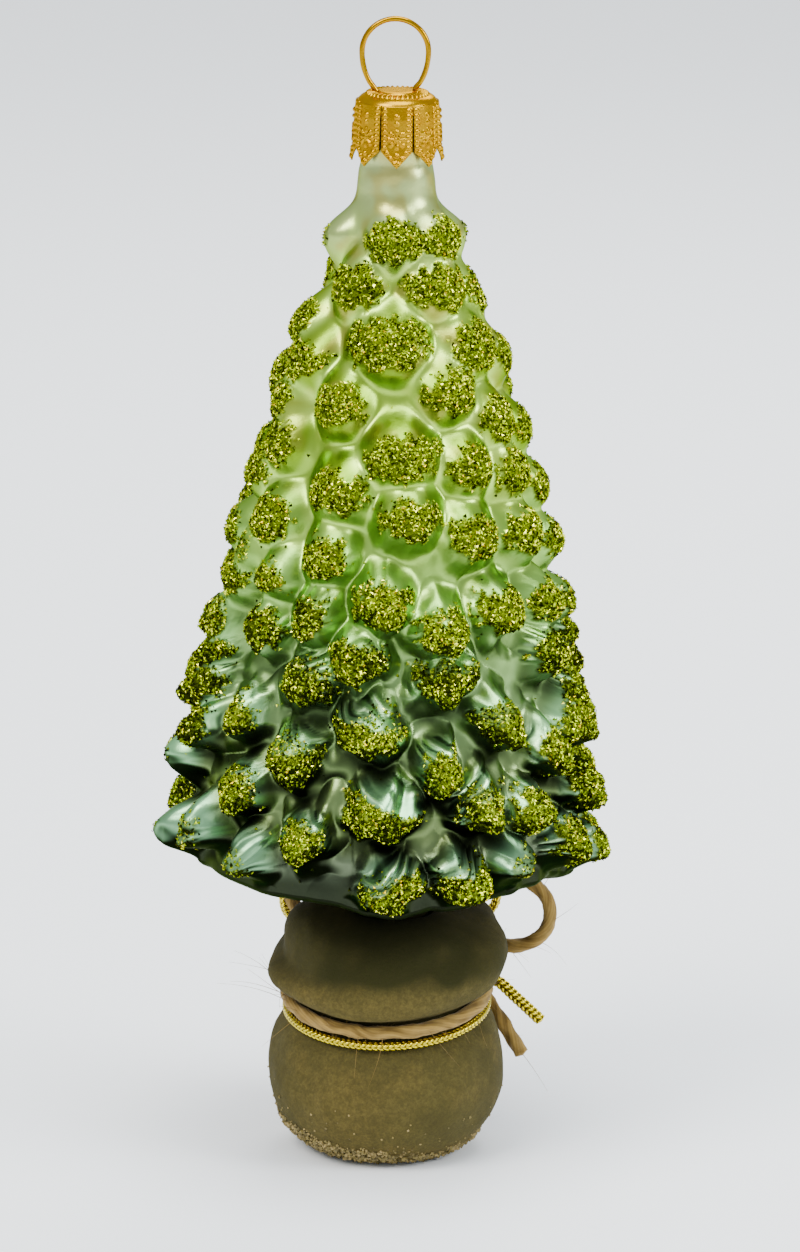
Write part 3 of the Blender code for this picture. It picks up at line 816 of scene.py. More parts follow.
def stamped_brass(name, colour, roughness):
    """Bright lacquered brass, a little redder and duller in patches."""
    finish = Finish(name, specular_tint=(1.0, 0.72, 0.24))
    patch = finish.noise(2.2, detail=3).between(0.35, 0.7)
    finish.set(
        base_color=finish.blend(0.4 * patch, colour, (0.36, 0.14, 0.0)),
        metallic=1.0,
        roughness=roughness + 0.12 * finish.noise(0.8, detail=3),
    )
    finish.bump(finish.noise(0.35, detail=3), 0.02)
    return finish.material


def twine():
    """Jute: pale and brown fibres side by side, with painted shade in the grooves between the plies."""
    finish = Finish("jute_fibre", specular_ior_level=0.2, sheen_weight=0.1)
    fibre_and_shade = finish.field("fibre_and_shade")
    tone = finish.blend(fibre_and_shade, (0.12, 0.068, 0.011), (0.345, 0.215, 0.052))
    finish.set(
        base_color=finish.blend(finish.noise(3).between(0.35, 0.75) * 0.35, tone, (0.39, 0.26, 0.075)),
        roughness=0.8 + 0.15 * fibre_and_shade,
    )
    return finish.material


def braid():
    """Metallised thread: bright stitches with painted shade in the gaps between them."""
    finish = Finish("gold_thread")
    stitch = finish.field("stitch")
    finish.set(
        # Dark in the gaps between stitches as painted shade, bright on the stitches
        base_color=finish.blend(stitch.between(0.15, 0.75), (0.07, 0.045, 0.0), (0.68, 0.54, 0.02)),
        metallic=1.0,
        roughness=0.36 - 0.16 * stitch,
    )
    return finish.material


# Crown


def all_tips():
    """Rows of (angle, height, patch width) for every branch tip.

    The back repeats the front, turned round the axis, without the tips that would crowd a front
    one. Then the place farthest from every tip gets one, as long as that is wider than the pitch.
    """
    front = np.array([tip for tier in FRONT_TIERS for tip in tier]) * (math.radians(1), 1, 1)
    back = front + (math.radians(BACK_TURN), 0, 0)
    clear = skin_distance(back[:, 0], back[:, 1], front).min(axis=1) > LEAST_PITCH
    tips = np.vstack((front, back[clear]))
    first = math.radians(FIRST_FILLED_ANGLE)
    columns = np.linspace(first, TURN - first, FILL_GRID[0])
    rows = np.linspace(front[:, 1].min(), front[:, 1].max(), FILL_GRID[1])
    angle, height = np.meshgrid(columns, rows)
    while True:
        room = skin_distance(angle, height, tips).min(axis=2)
        widest = np.unravel_index(room.argmax(), room.shape)
        if room[widest] < WIDEST_PITCH:
            return tips
        tips = np.vstack((tips, (angle[widest], height[widest], FILLED_PATCH)))


def skin_distance(angle, height, tips):
    """Distance over the crown's skin from points to tips, one column for each tip."""
    across = table_value(TIP_REACH, tips[:, 1]) * wrapped(angle[..., None] - tips[:, 0])
    return np.hypot(across, height[..., None] - tips[:, 1])


def crown_heights(angle, tips):
    """Heights of the rows of points over the angles: the lowest rows dip under the lowest knobs.

    The dip is RIM_DIP * (1 - the product over the tips of (1 - exp(-(across / width)^2))). The
    last row lies over the top, where it only serves the normals.
    """
    levels = [np.linspace(low, high, rows + 1) for _, low, high, rows, _, _ in CROWN_BANDS]
    rows = np.concatenate([level[:-1] for level in levels[:-1]] + [levels[-1], (CROWN_TOP + 0.4,)])[:, None]
    across = table_value(TIP_REACH, tips[:, 1]) * wrapped(angle[:, None] - tips[:, 0])
    knobs = hill(across, RIM_DIP_WIDTH) * eased(tips[:, 1], RIM_DIP_TIPS)
    return rows - RIM_DIP * (1 - (1 - knobs).prod(axis=1)) * eased(rows, RIM_DIP_SPAN)


def knob_over(number, tip, angle, height, warp):
    """One knob over the whole skin: its height, the ways across and up to its tip, its sag and painted
    shade.

    It stands depth * (1 - ((distance^2 + nose^2)^(power / 2) - nose^power) / width^power) high, and
    is the blunter the wider its patch is. With the ways level and upright in an oval that leans,
    distance = (level^corners + upright^corners)^(1 / corners), where corners is 2, or less on the
    low tips. It sags by sag * exp(-(distance / spread)^2), and a crescent under it gets painted shade.
    """
    tip_angle, tip_height, patch = tip
    tables = (TIP_REACH, KNOB_SAG, KNOB_DEPTH, KNOB_HALF_WIDTH)
    reach, sag, depth, half = (table_value(table, tip_height) for table in tables)
    across = reach * wrapped(angle - tip_angle)[None] + warp
    rise = height - tip_height - sag
    low = eased(tip_height, FLANK_SPAN)
    lean = KNOB_LEAN * low * varied(number, 3.3)
    corners = 2 - (2 - KNOB_CORNERS - 0.25 * varied(number, 4.7)) * low
    spread = np.clip(patch / USUAL_PATCH, *KNOB_STRETCH)
    level = np.abs(across * math.cos(lean) + rise * math.sin(lean)) / spread
    upright = rise * math.cos(lean) - across * math.sin(lean)
    upright = np.abs(upright) * np.where(upright > 0, 1 + (FLANK_ABOVE - 1) * low, 1)
    distance = (level**corners + upright**corners) ** (1 / corners)
    power = np.clip(KNOB_POWER[0] + KNOB_POWER[1] * patch, *KNOB_POWER[2:])
    blunt = (np.hypot(distance, KNOB_NOSE) ** power - KNOB_NOSE**power) / half**power
    wide, down = SHADE_PLACE
    under = np.hypot(across / (wide * half * spread), (rise + down * half) / SHADE_HEIGHT)
    return depth * (1 - blunt), across, rise, sag * hill(distance, SAG_SPREAD), np.exp(-(under**4))


def needle_relief(across, rise, tip):
    """Pressed needles as nested arches round the nose, or as slanting lines, by the tip's own number."""
    sway = 0.35 * np.sin(0.9 * across + 1.7 * tip) + 0.3 * np.sin(1.3 * rise + tip)
    arches = np.hypot(0.8 * across, rise) + 0.35 * np.abs(across)
    slanting = 0.5 * across * np.sign(varied(tip, 2.3)) + 0.87 * rise
    return np.cos(TURN * (np.where(tip % 3 == 0, arches, slanting) + sway) / NEEDLE_PITCH)


def crown_fields(angle, rows, tips):
    """Radius of the crown over a grid of heights and angles, and what the finish needs to know.

    Knobs meet as crease * log(sum(exp(knob / crease))), and that meets the floor between them, which
    lies depth inside the reach of the tips, as fillet * log(1 + exp(knobs / fillet)). Soft folds,
    needles and the seam of the mould are added, and the skin is eased into the neck at the top.
    owner is the number of the knob that stands highest at a point, across and rise are the ways to
    its tip, and lead is how much it stands over the next one.
    """
    reach = table_value(TIP_REACH, rows)
    where = round_axis(angle, reach, rows) * (1, -1, 1)
    rough = eased(rows, ROUGH_SPAN)
    warp, lift = (WARP * rough * ripple(where, 6, seed) for seed in (12, 13))
    lifted = rows + lift
    crease = table_value(CREASE_WIDTH, rows)
    fillet = table_value(FILLET, rows)
    total = np.zeros(rows.shape) + 1e-9
    best = np.full(rows.shape, -1e3)
    second = best.copy()
    sag, across, rise, owner, shade = np.zeros((5, *rows.shape))
    for number, tip in enumerate(tips):
        knob, wide, up, hang, under = knob_over(number, tip, angle, lifted, warp)
        total += np.exp(knob / crease)
        sag += hang
        shade = np.maximum(shade, under)
        higher = knob > best
        second = np.where(higher, best, np.maximum(second, knob))
        best = np.where(higher, knob, best)
        across = np.where(higher, wide, across)
        rise = np.where(higher, up, rise)
        owner = np.where(higher, number, owner)
    owner = owner.astype(int)
    lead = best - second
    depth = table_value(KNOB_DEPTH, rows)
    stand = fillet * np.log1p(np.exp(crease * np.log(total) / fillet))
    # Needles show off the creases and the floor, round the nose and below it, in parts of the skirt
    flank = np.clip(lead / 1.2, 0, 1) * eased(stand, (0.9, 1.9)) * eased(rows, NEEDLE_SPAN)
    flank = flank * eased(np.hypot(across, rise), (0.8, 2.2)) * eased(rise, (-3.0, -0.8))
    flank = flank * eased(ripple(where, 8, 8), (-1.1, 0.1)) * (0.25 + 0.75 * eased(tips[owner, 2], (3, 8)))
    needles = flank * needle_relief(across, rise, owner)
    folds = FOLD_DEPTH * rough * (0.3 + 0.7 * eased(rows, (48, 54))) * (np.abs(ripple(where, 9, 14)) - 0.7)
    skin = reach - depth + stand + NEEDLE_DEPTH * needles + SKIN_RIPPLE * ripple(where, 4.5, 9) + folds
    for seam in (0, 180):
        off = skin * wrapped(angle - math.radians(MOULD_SEAM_ANGLE + seam))[None]
        skin = skin + MOULD_SEAM_HEIGHT * hill(off, MOULD_SEAM_WIDTH) * eased(rows, MOULD_SEAM_SPAN)
    hem = eased(rows, HEM_SPAN) * (1 - eased(stand, (2.5, 5)))
    skin = skin + HEM_RIPPLE * hem * ripple(where * (1, 1, 0.3), 6.5, 16)

    shoulder = eased(rows, CROWN_SHOULDER)
    neck_radius, neck_height = smooth_route(NECK_OUTLINE, NECK_SPACING).T
    neck = np.interp(rows, neck_height, neck_radius)
    # Painted highlight along the creases between knobs and over the floor between them
    tie = hill(lead, CREASE_HIGHLIGHT_WIDTH) * eased(best, (-2.5, 0.5))
    tie = np.maximum(tie, 0.45 * eased(stand / depth, (0.4, 0.2))) * (0.65 + 0.35 * ripple(where, 7, 15))
    return {
        "radius": neck + (skin - neck) * shoulder,
        "sag": np.minimum(sag, MOST_SAG) * shoulder * eased(rows, (CROWN_RIM - RIM_DIP, CROWN_RIM + 3)),
        "valley": eased(stand / depth, (0.6, 0.12)) * shoulder,
        "crease": np.clip(tie, 0, 1) * shoulder,
        # Painted shade: the crescents under knobs, and above the hem
        "shade": np.maximum(shade * (0.1 + 0.9 * eased(rows, SHADE_SPAN)), HEM_SHADE * hem * shoulder),
        "needle": needles,
        "across": across,
        "rise": rise,
        "owner": owner,
    }


def patch_cover(across, rise, owner, tips, where):
    """How thickly glitter covers a point of the skin, from 0 to 1.

    A patch is an oval round the tip, |across / wide|^power + |up / tall|^power < 1, with a ragged
    edge. Low on the crown it lies lower, and one upper side of a wide one stays bare.
    """
    height, width = tips[owner, 1], tips[owner, 2]
    wide = 0.5 * width * (1 + 0.08 * eased(height, (100, 136)))
    share, plus, most = PATCH_TALL
    tall = np.minimum(share * width + plus, most * width)
    low = 1 - eased(height, PATCH_LOW_SPAN)
    lift = rise - 0.2 * low
    tall = tall * np.where(lift < 0, 1 + 0.2 * low, 0.92)
    power = PATCH_POWER[0] + PATCH_POWER[1] * varied(owner, 7.3)
    reach = (np.abs(across / wide) ** power + np.abs(lift / tall) ** power) ** (1 / power)
    ragged = sum(depth * ripple(where, size, seed) for depth, size, seed in PATCH_EDGE)
    slant = lift / tall + 0.6 * np.sin(8.0 * owner + 2.6) * across / wide
    bare = low * eased(width, BARE_WIDTHS) * eased(slant, BARE_EDGE)
    cover = eased(1.06 - reach + ragged, (0, 0.12)) * (1 - bare)
    return np.where(width < THIN_PATCH, THIN_COVER * cover, cover)


def make_crown():
    """The crown's bands and underside, and the glitter on them. Gives back the glass for the neck."""
    tips = all_tips()
    angle = ring_angles(CROWN_COLUMNS)
    height = crown_heights(angle, tips)
    fields = crown_fields(angle, height, tips)
    place = (height - fields["sag"], table_value(CROWN_LEAN, height))
    where = round_axis(angle, fields["radius"], *place)
    cover = patch_cover(fields["across"], fields["rise"], fields["owner"], tips, where)
    grid = round_axis(angle, fields["radius"] + GLUE_HEIGHT * cover, *place)
    level = grid_normals(grid)
    # Painted shade: faces that look down, the crescents under knobs and the hem
    fields["under"] = np.maximum(eased(-level[..., 2], (-0.2, 0.42)), fields["shade"])
    fields["glue"] = cover
    glass = lacquered_glass()
    first = 0
    for name, _, _, rows, tiers, slot in CROWN_BANDS:
        part = slice(first, first + rows + 1)
        marks = {field: fields[field][part] for field in GLASS_FIELDS}
        nodes = [f"branch_tier_{number:02d}" for number in tiers]
        add_piece(name, lofted(grid[part]), glass, nodes, level[part], marks)
        first += rows
    make_underside(grid[0], glass)
    # Flakes that turn dark as painted shade: where the skin has painted shade, more so low down
    dusk = LEAST_DUSK + (1 - LEAST_DUSK) * eased(height, DUSK_SPAN[::-1])
    painted_shade_share = PAINTED_SHADE_FLAKES * fields["under"] * dusk
    make_glitter(grid[:-1], level[:-1], cover[:-1], height[:-1], painted_shade_share[:-1])
    return glass


def make_underside(rim, glass):
    """The smooth under face: it turns in from the rim and then slopes down to the trunk.

    At a distance in from the rim it lies drop * sqrt(1 - (1 - distance / round)^2) below it.
    """
    share = np.linspace(0, 1, UNDERSIDE_ROWS + 1)[:, None] ** UNDERSIDE_CROWDING
    lean = table_value(CROWN_LEAN, CROWN_RIM)
    reach = np.hypot(rim[:, 0] - lean, rim[:, 1])
    end, floor = UNDERSIDE_END
    inward = (reach - end) * share
    turn_in = HEM_DROP * np.sqrt(1 - (1 - np.minimum(inward / HEM_ROUND, 1)) ** 2)
    height = rim[:, 2] - turn_in - (rim[:, 2] - HEM_DROP - floor) * share
    grid = round_axis(ring_angles(CROWN_COLUMNS), reach - inward, height, lean * (1 - share))
    # The underside is all valley and nearly all painted shade
    marks = dict.fromkeys(GLASS_FIELDS, 0.0) | {"valley": 1.0, "under": 0.95}
    add_piece("crown_underside", lofted(grid[::-1]), glass, fields=marks)


def make_glitter(grid, level, cover, height, painted_shade_share):
    """Flakes strewn over the patches: as many in each cell of the skin as its area and cover give.

    Its last argument is the share of a cell's flakes that take the darkest colour as painted shade,
    whatever they were to be.
    """
    chance = np.random.default_rng(11)
    edges = cell_edges(grid)
    area = np.linalg.norm(np.cross(*edges), axis=-1)
    stray = STRAY_FLAKES * (cover[:-1] < 0.05) * (height[:-1] < STRAY_TOP)
    wanted = area * FLAKES_PER_AREA * (cover[:-1] + stray)
    number = np.floor(wanted + chance.uniform(size=wanted.shape)).astype(int)
    cells = np.divmod(np.repeat(np.arange(number.size), number.ravel()), CROWN_COLUMNS)
    count = len(cells[0])
    along, upward = chance.uniform(size=(2, count, 1))
    normal = level[cells]
    lift = chance.uniform(0.0, FLAKE_LIFT, size=(count, 1))
    centres = in_cells(grid, edges, cells, along, upward) + lift * normal
    across = chance.uniform(*FLAKE_SIZE, size=count)
    draw = chance.uniform(size=count)
    painted_shade_flakes = chance.uniform(size=count) < painted_shade_share[cells]
    start = 0.0
    for number, (name, share, colour, roughness) in enumerate(FLAKE_COLOURS):
        mine = (draw >= start) & (draw < start + share) & ~painted_shade_flakes
        if name == "shade":
            mine = mine | painted_shade_flakes
        start += share
        shape = scattered(centres[mine], normal[mine], across[mine], FLAKE_THICK, 20 + number, sides=3)
        finish = glitter(f"glitter_{name}", colour, roughness)
        add_piece(f"glitter_{name}", shape, finish, facets=True)


# Neck, cap and ring


def make_neck(glass):
    """The glass neck: a smooth profile outside with soft bands, its lip and its bore inside the cap."""
    radius, height = smooth_route(NECK_OUTLINE, NECK_SPACING).T
    rows = np.arange(CROWN_TOP - NECK_STEP, height[-1], NECK_STEP)
    outside = np.stack((np.interp(rows, height, radius), rows), axis=1)
    bore, top = outside[-1] - (NECK_WALL, 0)
    inside = ((bore + 0.3, top + 0.05), (bore, top - 0.3), (bore, CROWN_TOP + 0.9))
    angle = ring_angles(NECK_COLUMNS)
    radius, height = np.vstack((outside, inside)).T[:, :, None]
    wave = np.sin(2 * angle + height / 3) + 0.6 * np.sin(5 * angle - height)
    bands = sum(depth * hill(height - place, width) for depth, place, width in NECK_BANDS)
    fade = eased(height, (CROWN_TOP, CROWN_TOP + 3)) * eased(height, (163, 160))
    grid = round_axis(angle, radius + (0.08 * wave + bands) * fade, height)
    level = np.vstack((grid_normals(grid)[1:].reshape(-1, 3), (0, 0, 1)))
    shape = lofted(grid[1:], None, (0, 0, CROWN_TOP + 0.5))
    marks = dict.fromkeys(GLASS_FIELDS, 0.0)
    add_piece("glass_neck_lacquered", shape, glass, ["glass_neck"], level, marks)


def petal_relief(across, down):
    """Embossing of one petal: beads along both edges and down the middle, and a star of eight rays.

    A bead stands height * sqrt(1 - (distance / size)^2) over the sheet.
    """
    beads = [(0, place, size, MIDDLE_BEAD_HEIGHT) for place, size in MIDDLE_BEADS]
    beads.append((0, STAR_PLACE, *STAR_BEAD))
    for place in EDGE_BEAD_START + EDGE_BEAD_PITCH * np.arange(EDGE_BEADS):
        out = (PETAL_HALF_WIDTH - EDGE_BEAD_INSET) * min(1, (PETAL_LENGTH - place - 0.35) / PETAL_POINT)
        beads += [(-out, place, *EDGE_BEAD), (out, place, *EDGE_BEAD)]
    relief = np.zeros_like(across)
    for x, y, size, height in beads:
        away = ((across - x) ** 2 + (down - y) ** 2) / size**2
        relief = np.maximum(relief, height * np.sqrt(np.clip(1 - away, 0, 1)))
    star = np.hypot(across, down - STAR_PLACE)
    ray = STAR_RAYS * np.arctan2(across, down - STAR_PLACE)
    rays = np.clip(1 - (star * np.sin(ray) / STAR_RAYS / 0.2) ** 2, 0, 1) * (np.cos(ray) > 0)
    rays = rays * eased(star, (1.55, 1.2))
    relief = np.maximum(relief, 0.25 * np.sqrt(rays) * eased(star, (0.1, 0.4)))
    rim = 0.05 * eased(np.abs(across), (PETAL_HALF_WIDTH * 0.93, PETAL_HALF_WIDTH))
    return relief + rim * (PETAL_LENGTH - down > 0.99 * PETAL_POINT)


def make_petal(number):
    """A petal: a strip of the skirt that narrows to a point, embossed outside and thin all round."""
    rows, columns = PETAL_GRID
    down = np.linspace(0, 1, rows)[:, None] * PETAL_LENGTH
    width = PETAL_HALF_WIDTH * np.clip((PETAL_LENGTH - down) / PETAL_POINT, 0.03, 1)
    across = np.linspace(-1, 1, columns)[None] * width
    down = np.broadcast_to(down, across.shape)
    flare = table_value(PETAL_FLARE, down) + 0.12 * np.cos(across / PETAL_HALF_WIDTH * math.pi / 2)
    angle = number * TURN / PETALS + across / flare
    radius = flare + 0.12 * varied(number, 3.1) * eased(down, (3, 8))
    outer = round_axis(angle, radius + petal_relief(across, down), PETAL_TOP - down)
    inner = round_axis(angle, radius - CAP_SHEET, PETAL_TOP - down)
    ring = np.concatenate((outer, inner[:, ::-1]), axis=1)[::-1]
    return lofted(ring, ring[0].mean(axis=0), ring[-1].mean(axis=0))


def make_cap():
    """The stamped cap: a dome with a ribbed ring and a raised middle, and eight pointed petals."""
    outline = smooth_route([(r, CAP_TOP - drop) for r, drop in DOME_OUTLINE], 0.12)[1:]
    inner = outline - CAP_SHEET
    inner = inner[inner[:, 0] > 0.2]
    grid = turned(np.vstack((inner, outline[::-1])), DOME_COLUMNS)
    out = np.hypot(grid[..., 0], grid[..., 1])
    start, end = DOME_RIB_SPAN
    band = eased(out, (start, start + 0.4)) * eased(out, (end, end - 0.4))
    band[: len(inner)] = 0
    ribs = np.abs(np.cos(DOME_RIBS / 2 * ring_angles(DOME_COLUMNS))) - 0.3
    grid[..., 2] += 0.4 * band * ribs
    dome = lofted(grid, (0, 0, grid[0, 0, 2]), (0, 0, CAP_TOP))
    petals = [make_petal(number) for number in range(PETALS)]
    brass = stamped_brass("stamped_brass", (0.42, 0.228, 0.0), 0.2)
    add_piece("stamped_cap", joined([dome] + petals), brass, ["petal_cap"])


def make_ring():
    """A wire ring, round above and a little long below, whose two legs run down through the cap."""
    x, z = RING_CENTRE
    opening = math.radians(RING_OPEN_ANGLE)
    turn = np.linspace(opening, TURN - opening, RING_POINTS) + math.pi
    tall = np.where(np.cos(turn) > 0, RING_RADIUS, RING_DROP)
    arc = np.stack((x + RING_RADIUS * np.sin(turn), 0 * turn, z + tall * np.cos(turn)), axis=1)
    leg = np.array(LEG_ROUTE)
    route = smooth_route(np.vstack((leg[::-1] * (-1, 1, 1), arc, leg)), 0.2)
    section = RING_WIRE * (1 + 0.03 * ripple(route, 2.5, 31))[:, None] * np.ones(WIRE_COLUMNS)
    wire = stamped_brass("gold_wire", (0.345, 0.188, 0.0), 0.14)
    add_piece("hanging_ring_wire", swept(route, section), wire, ["hanging_ring"])


# Sack


def on_sack(angle, radius, height):
    """Points of the sack, whose waist and collar are tilted forward and to one side.

    The tilt grows from the ball's middle to the waist, holds through the collar and fades at its
    mouth. It leaves the middle of the sack level, where the trunk stands.
    """
    x = radius * np.sin(angle)
    y = -radius * np.cos(angle)
    up = eased(height, TILT_COMES) * (1 - eased(height, TILT_GOES))
    side = SACK_TILT_SIDE + (COLLAR_TILT_SIDE - SACK_TILT_SIDE) * eased(height, SIDE_TILT_CHANGES)
    share = up * eased(radius, TILT_COMES_OUTWARD)
    return np.stack((x, y, height + share * (SACK_TILT_FORWARD * y + side * x)), axis=-1)


def sack_rings(outline):
    """Angles, radii and heights of the rings of a smoothed outline, and dents that fade at the foot."""
    radius, height = smooth_route(outline, SACK_SPACING).T[:, :, None]
    angle = ring_angles(SACK_COLUMNS)
    flat = round_axis(angle, radius, height)
    dents = 0.16 * ripple(flat, 11, 41) + 0.05 * ripple(flat, 3.5, 42)
    return angle, radius, height, dents * eased(height, (0.3, 4))


def make_ball(flock):
    """The root ball, with upright folds, lighter on its belly from wear and a painted highlight, and worn
    bare near the foot.
    """
    angle, radius, height, dents = sack_rings(BALL_OUTLINE)
    folds = sum(depth * swell(angle, place, width) for depth, place, width in BALL_FOLDS)
    folds = folds * eased(height, (3, 9)) * eased(height, (22, 17))
    ball = on_sack(angle, radius + dents + folds, height)
    # Lighter on the upper left of the belly, worn pile and painted highlight; worn near the foot
    rub = swell(angle, -0.35, 0.5) * eased(height, (24, 15)) + 0.8 * eased(height, (6, 2))
    # Darker towards the waist, under the collar and the ties: painted shade
    spray_and_shade = 0.35 * eased(height, (21, 24)) + 0 * angle
    marks = {"spray_and_shade": with_hubs(spray_and_shade, 0), "rub": with_hubs(np.clip(rub, 0, 1), 0)}
    shape = lofted(ball, (0, 0, 0), (0, 0, BALL_OUTLINE[-1][1]))
    add_piece("flocked_ball", shape, flock, ["root_ball"], fields=marks)
    make_grit(ball)


def make_collar(flock):
    """The gathered mouth: five lobes, a notch at the left, and dark spray on top that thins to the back."""
    angle, radius, height, dents = sack_rings(COLLAR_OUTLINE)
    lobes = COLLAR_LOBE_HEIGHT * np.cos(COLLAR_LOBES * angle + COLLAR_LOBE_TURN)
    left = swell(angle, -1.4, 0.6)
    notch = left * (0.65 + 1.9 * hill(height - 33.2, 1.5))
    notch = notch * eased(height, (27, 29)) * eased(height, (37.6, 35.6))
    spread = radius + lobes * eased(radius, COLLAR_SWELLS) + dents - notch
    collar = on_sack(angle, spread, height + 2.1 * left * eased(height, (33, 36.5)))
    cloud = ripple(collar, 6, 43)
    top = eased(collar[..., 2] + 0.7 * cloud, (29.0, 31.8))
    spray_and_shade = np.clip(top * (0.3 + 0.85 * swell(angle, 0.12, 1.0) + 0.15 * cloud), 0, 1)
    # Darker at the bottom of the collar, in the gap behind the ties: painted shade
    spray_and_shade = np.clip(spray_and_shade + 0.9 * eased(height, (26.4, 24.8)), 0, 0.95)
    # Lighter golden patches low on the left and the front: worn pile and painted highlight
    rub = swell(angle, -0.75, 0.35) + 0.8 * swell(angle, 0.1, 0.5)
    rub = np.clip(rub * eased(height, (26, 28.5)) * eased(height, (34, 30)), 0, 1)
    marks = {"spray_and_shade": spray_and_shade, "rub": rub}
    add_piece("flocked_collar", lofted(collar), flock, ["sack_collar"], fields=marks)


def make_sack():
    """The ball, the collar, and the short stem between the sack and the crown."""
    flock = flocked()
    make_ball(flock)
    make_collar(flock)
    stem = turned(smooth_route(TRUNK_OUTLINE, 0.4), 120)
    # The stem under the crown is dark with painted shade
    marks = {"spray_and_shade": 0.85, "rub": 0.0}
    add_piece("short_stem", lofted(stem), flock, ["short_trunk"], fields=marks)


def make_grit(ball):
    """Crumbs of grit on the foot, thick below a slanting line and thinning out above it."""
    chance = np.random.default_rng(51)
    x, y, height = np.moveaxis(ball, -1, 0)
    line = GRIT_TOP[0] + GRIT_TOP[1] * x + GRIT_TOP[2] * y + 0.4 * ripple(ball, 4, 52)
    depth = line - height
    edges = cell_edges(ball)
    face = np.cross(*edges)
    share = eased(depth, (-0.7, 0.5)) + GRIT_ABOVE * eased(depth, (-9, 0))
    weight = np.linalg.norm(face, axis=-1) * (share * (height > 0.35))[:-1]
    picked = chance.choice(weight.size, CRUMBS, p=(weight / weight.sum()).ravel())
    cells = np.divmod(picked, SACK_COLUMNS)
    normal = unit(face[cells])
    along, upward = chance.uniform(size=(2, CRUMBS, 1))
    across = chance.uniform(*CRUMB_SIZE, size=CRUMBS) * (0.6 + 0.4 * eased(depth[cells], (-1, 1)))
    lift = chance.uniform(0, 0.35, CRUMBS) * across / CRUMB_SIZE[1]
    centres = in_cells(ball, edges, cells, along, upward) + lift[:, None] * normal
    centres[:, 2] = np.maximum(centres[:, 2], 1.1 * across)
    for number, (name, colour) in enumerate(GRIT_COLOURS):
        mine = np.arange(CRUMBS) % len(GRIT_COLOURS) == number
        bits = (centres[mine], normal[mine], across[mine])
        shape = scattered(*bits, CRUMB_THICK, 60 + number, lump=CRUMB_LUMP)
        add_piece(f"grit_{name}", shape, grit(f"grit_{name}", colour), facets=True)


# Ties


def jute_section(route, radius):
    """Radii of a loosely twisted three-ply twine, and how pale it is: its fibres, with painted shade in
    the grooves between the plies.

    With phase = angle - twist * length, the radius is that of three round plies side by side,
    radius * (0.86 + 0.14 * |cos(1.5 phase)|^0.8), with fine ridges for the fibres that follow the
    twist. In a closed turn the twists are whole, so that the plies meet.
    """
    angle = ring_angles(JUTE_COLUMNS, 0)[None]
    length = np.linalg.norm(np.diff(route, axis=0), axis=1).sum()
    twists = length / JUTE_TWIST
    if meets(route):
        twists = max(1, round(length / JUTE_CLOSED_TWIST))
    share = np.linspace(0, 1, len(route), endpoint=not meets(route))[:, None]
    phase = angle - share * TURN * twists
    plies = np.abs(np.cos(1.5 * phase)) ** 0.8
    wander, thick, lumps = (ripple(route, *noise)[:, None] for noise in ((5, 71), (3, 72), (1.1, 73)))
    fibres = 0.5 + 0.3 * np.sin(13 * phase + 3.2 * wander) + 0.2 * np.sin(21 * phase - 4 * wander)
    section = radius * ((0.86 + 0.14 * plies) * (1 + 0.06 * thick + 0.03 * lumps) + 0.09 * fibres)
    # Paler on the plies' crowns and darker in the grooves between them: painted shade over the fibres' own
    # tones
    tone = 0.1 + 0.65 * fibres * (0.4 + 0.6 * plies) + 0.3 * np.sin(4 * phase + 2 * wander)
    return section, np.clip(tone, 0, 1)


def gold_section(route, radius):
    """Radii of a braided cord, and where its stitches are.

    Stitches run in six columns that slant by turns to the left and to the right: with
    slant = the triangle wave of the angle, the stitch is |sin(pi * (length / stitch + slant))|.
    """
    angle = ring_angles(GOLD_COLUMNS, 0)[None]
    steps = np.linalg.norm(np.diff(route, axis=0), axis=1)
    along = np.concatenate(([0], np.cumsum(steps)))[:, None]
    count = max(1, round(along[-1, 0] / GOLD_STITCH))
    wave = 3 * angle / TURN
    slant = 0.75 * np.abs(2 * (wave - np.floor(wave)) - 1)
    stitch = np.abs(np.sin(math.pi * (along / along[-1] * count + slant)))
    column = np.abs(np.sin(math.pi * 2 * wave))
    relief = stitch**0.7 * (0.35 + 0.65 * column**0.5)
    return radius * (0.74 + 0.3 * relief), relief


def stray_hairs(routes, chance, count, length, radius, outward, pull):
    """Fine fibres that stand off the twine: three-sided tubes, curved, thinning to their ends.

    A heading is random + outward * (away from the axis) + pull, made one long. A fibre's spine is
    start + span * (heading * share + (bend - sag) * share^2).
    """
    total = sum(map(len, routes))
    starts = []
    for route in routes:
        picks = chance.integers(0, len(route), size=max(1, round(count * len(route) / total)))
        starts.append(route[picks])
    starts = np.vstack(starts)
    number = len(starts)
    heading = unit(unit(chance.normal(size=(number, 3))) + outward * unit(starts * (1, 1, 0)) + pull)
    bend = unit(chance.normal(size=(number, 3))) * chance.uniform(0.1, 0.5, size=(number, 1))
    span = chance.uniform(*length, size=(number, 1))[:, None]
    share = np.linspace(0, 1, HAIR_POINTS)[None, :, None]
    curve = bend[:, None] - (0, 0, HAIR_SAG)
    spine = starts[:, None] + span * (heading[:, None] * share + curve * share**2)
    side = unit(np.cross(heading, (0.3, 0.5, 0.8)))
    around = spokes(ring_angles(3, 0), side, np.cross(heading, side))
    taper = radius * (1 - 0.75 * share)
    grid = spine[:, :, None] + taper[..., None] * around[:, None]
    last = 3 * HAIR_POINTS
    quads = grid_quads(HAIR_POINTS, 3)
    caps = np.array(((2, 1, 0), (last - 3, last - 2, last - 1)))
    offset = last * np.arange(number)[:, None, None]
    return grid.reshape(-1, 3), (quads[None] + offset).reshape(-1, 4), (caps[None] + offset).reshape(-1, 3)


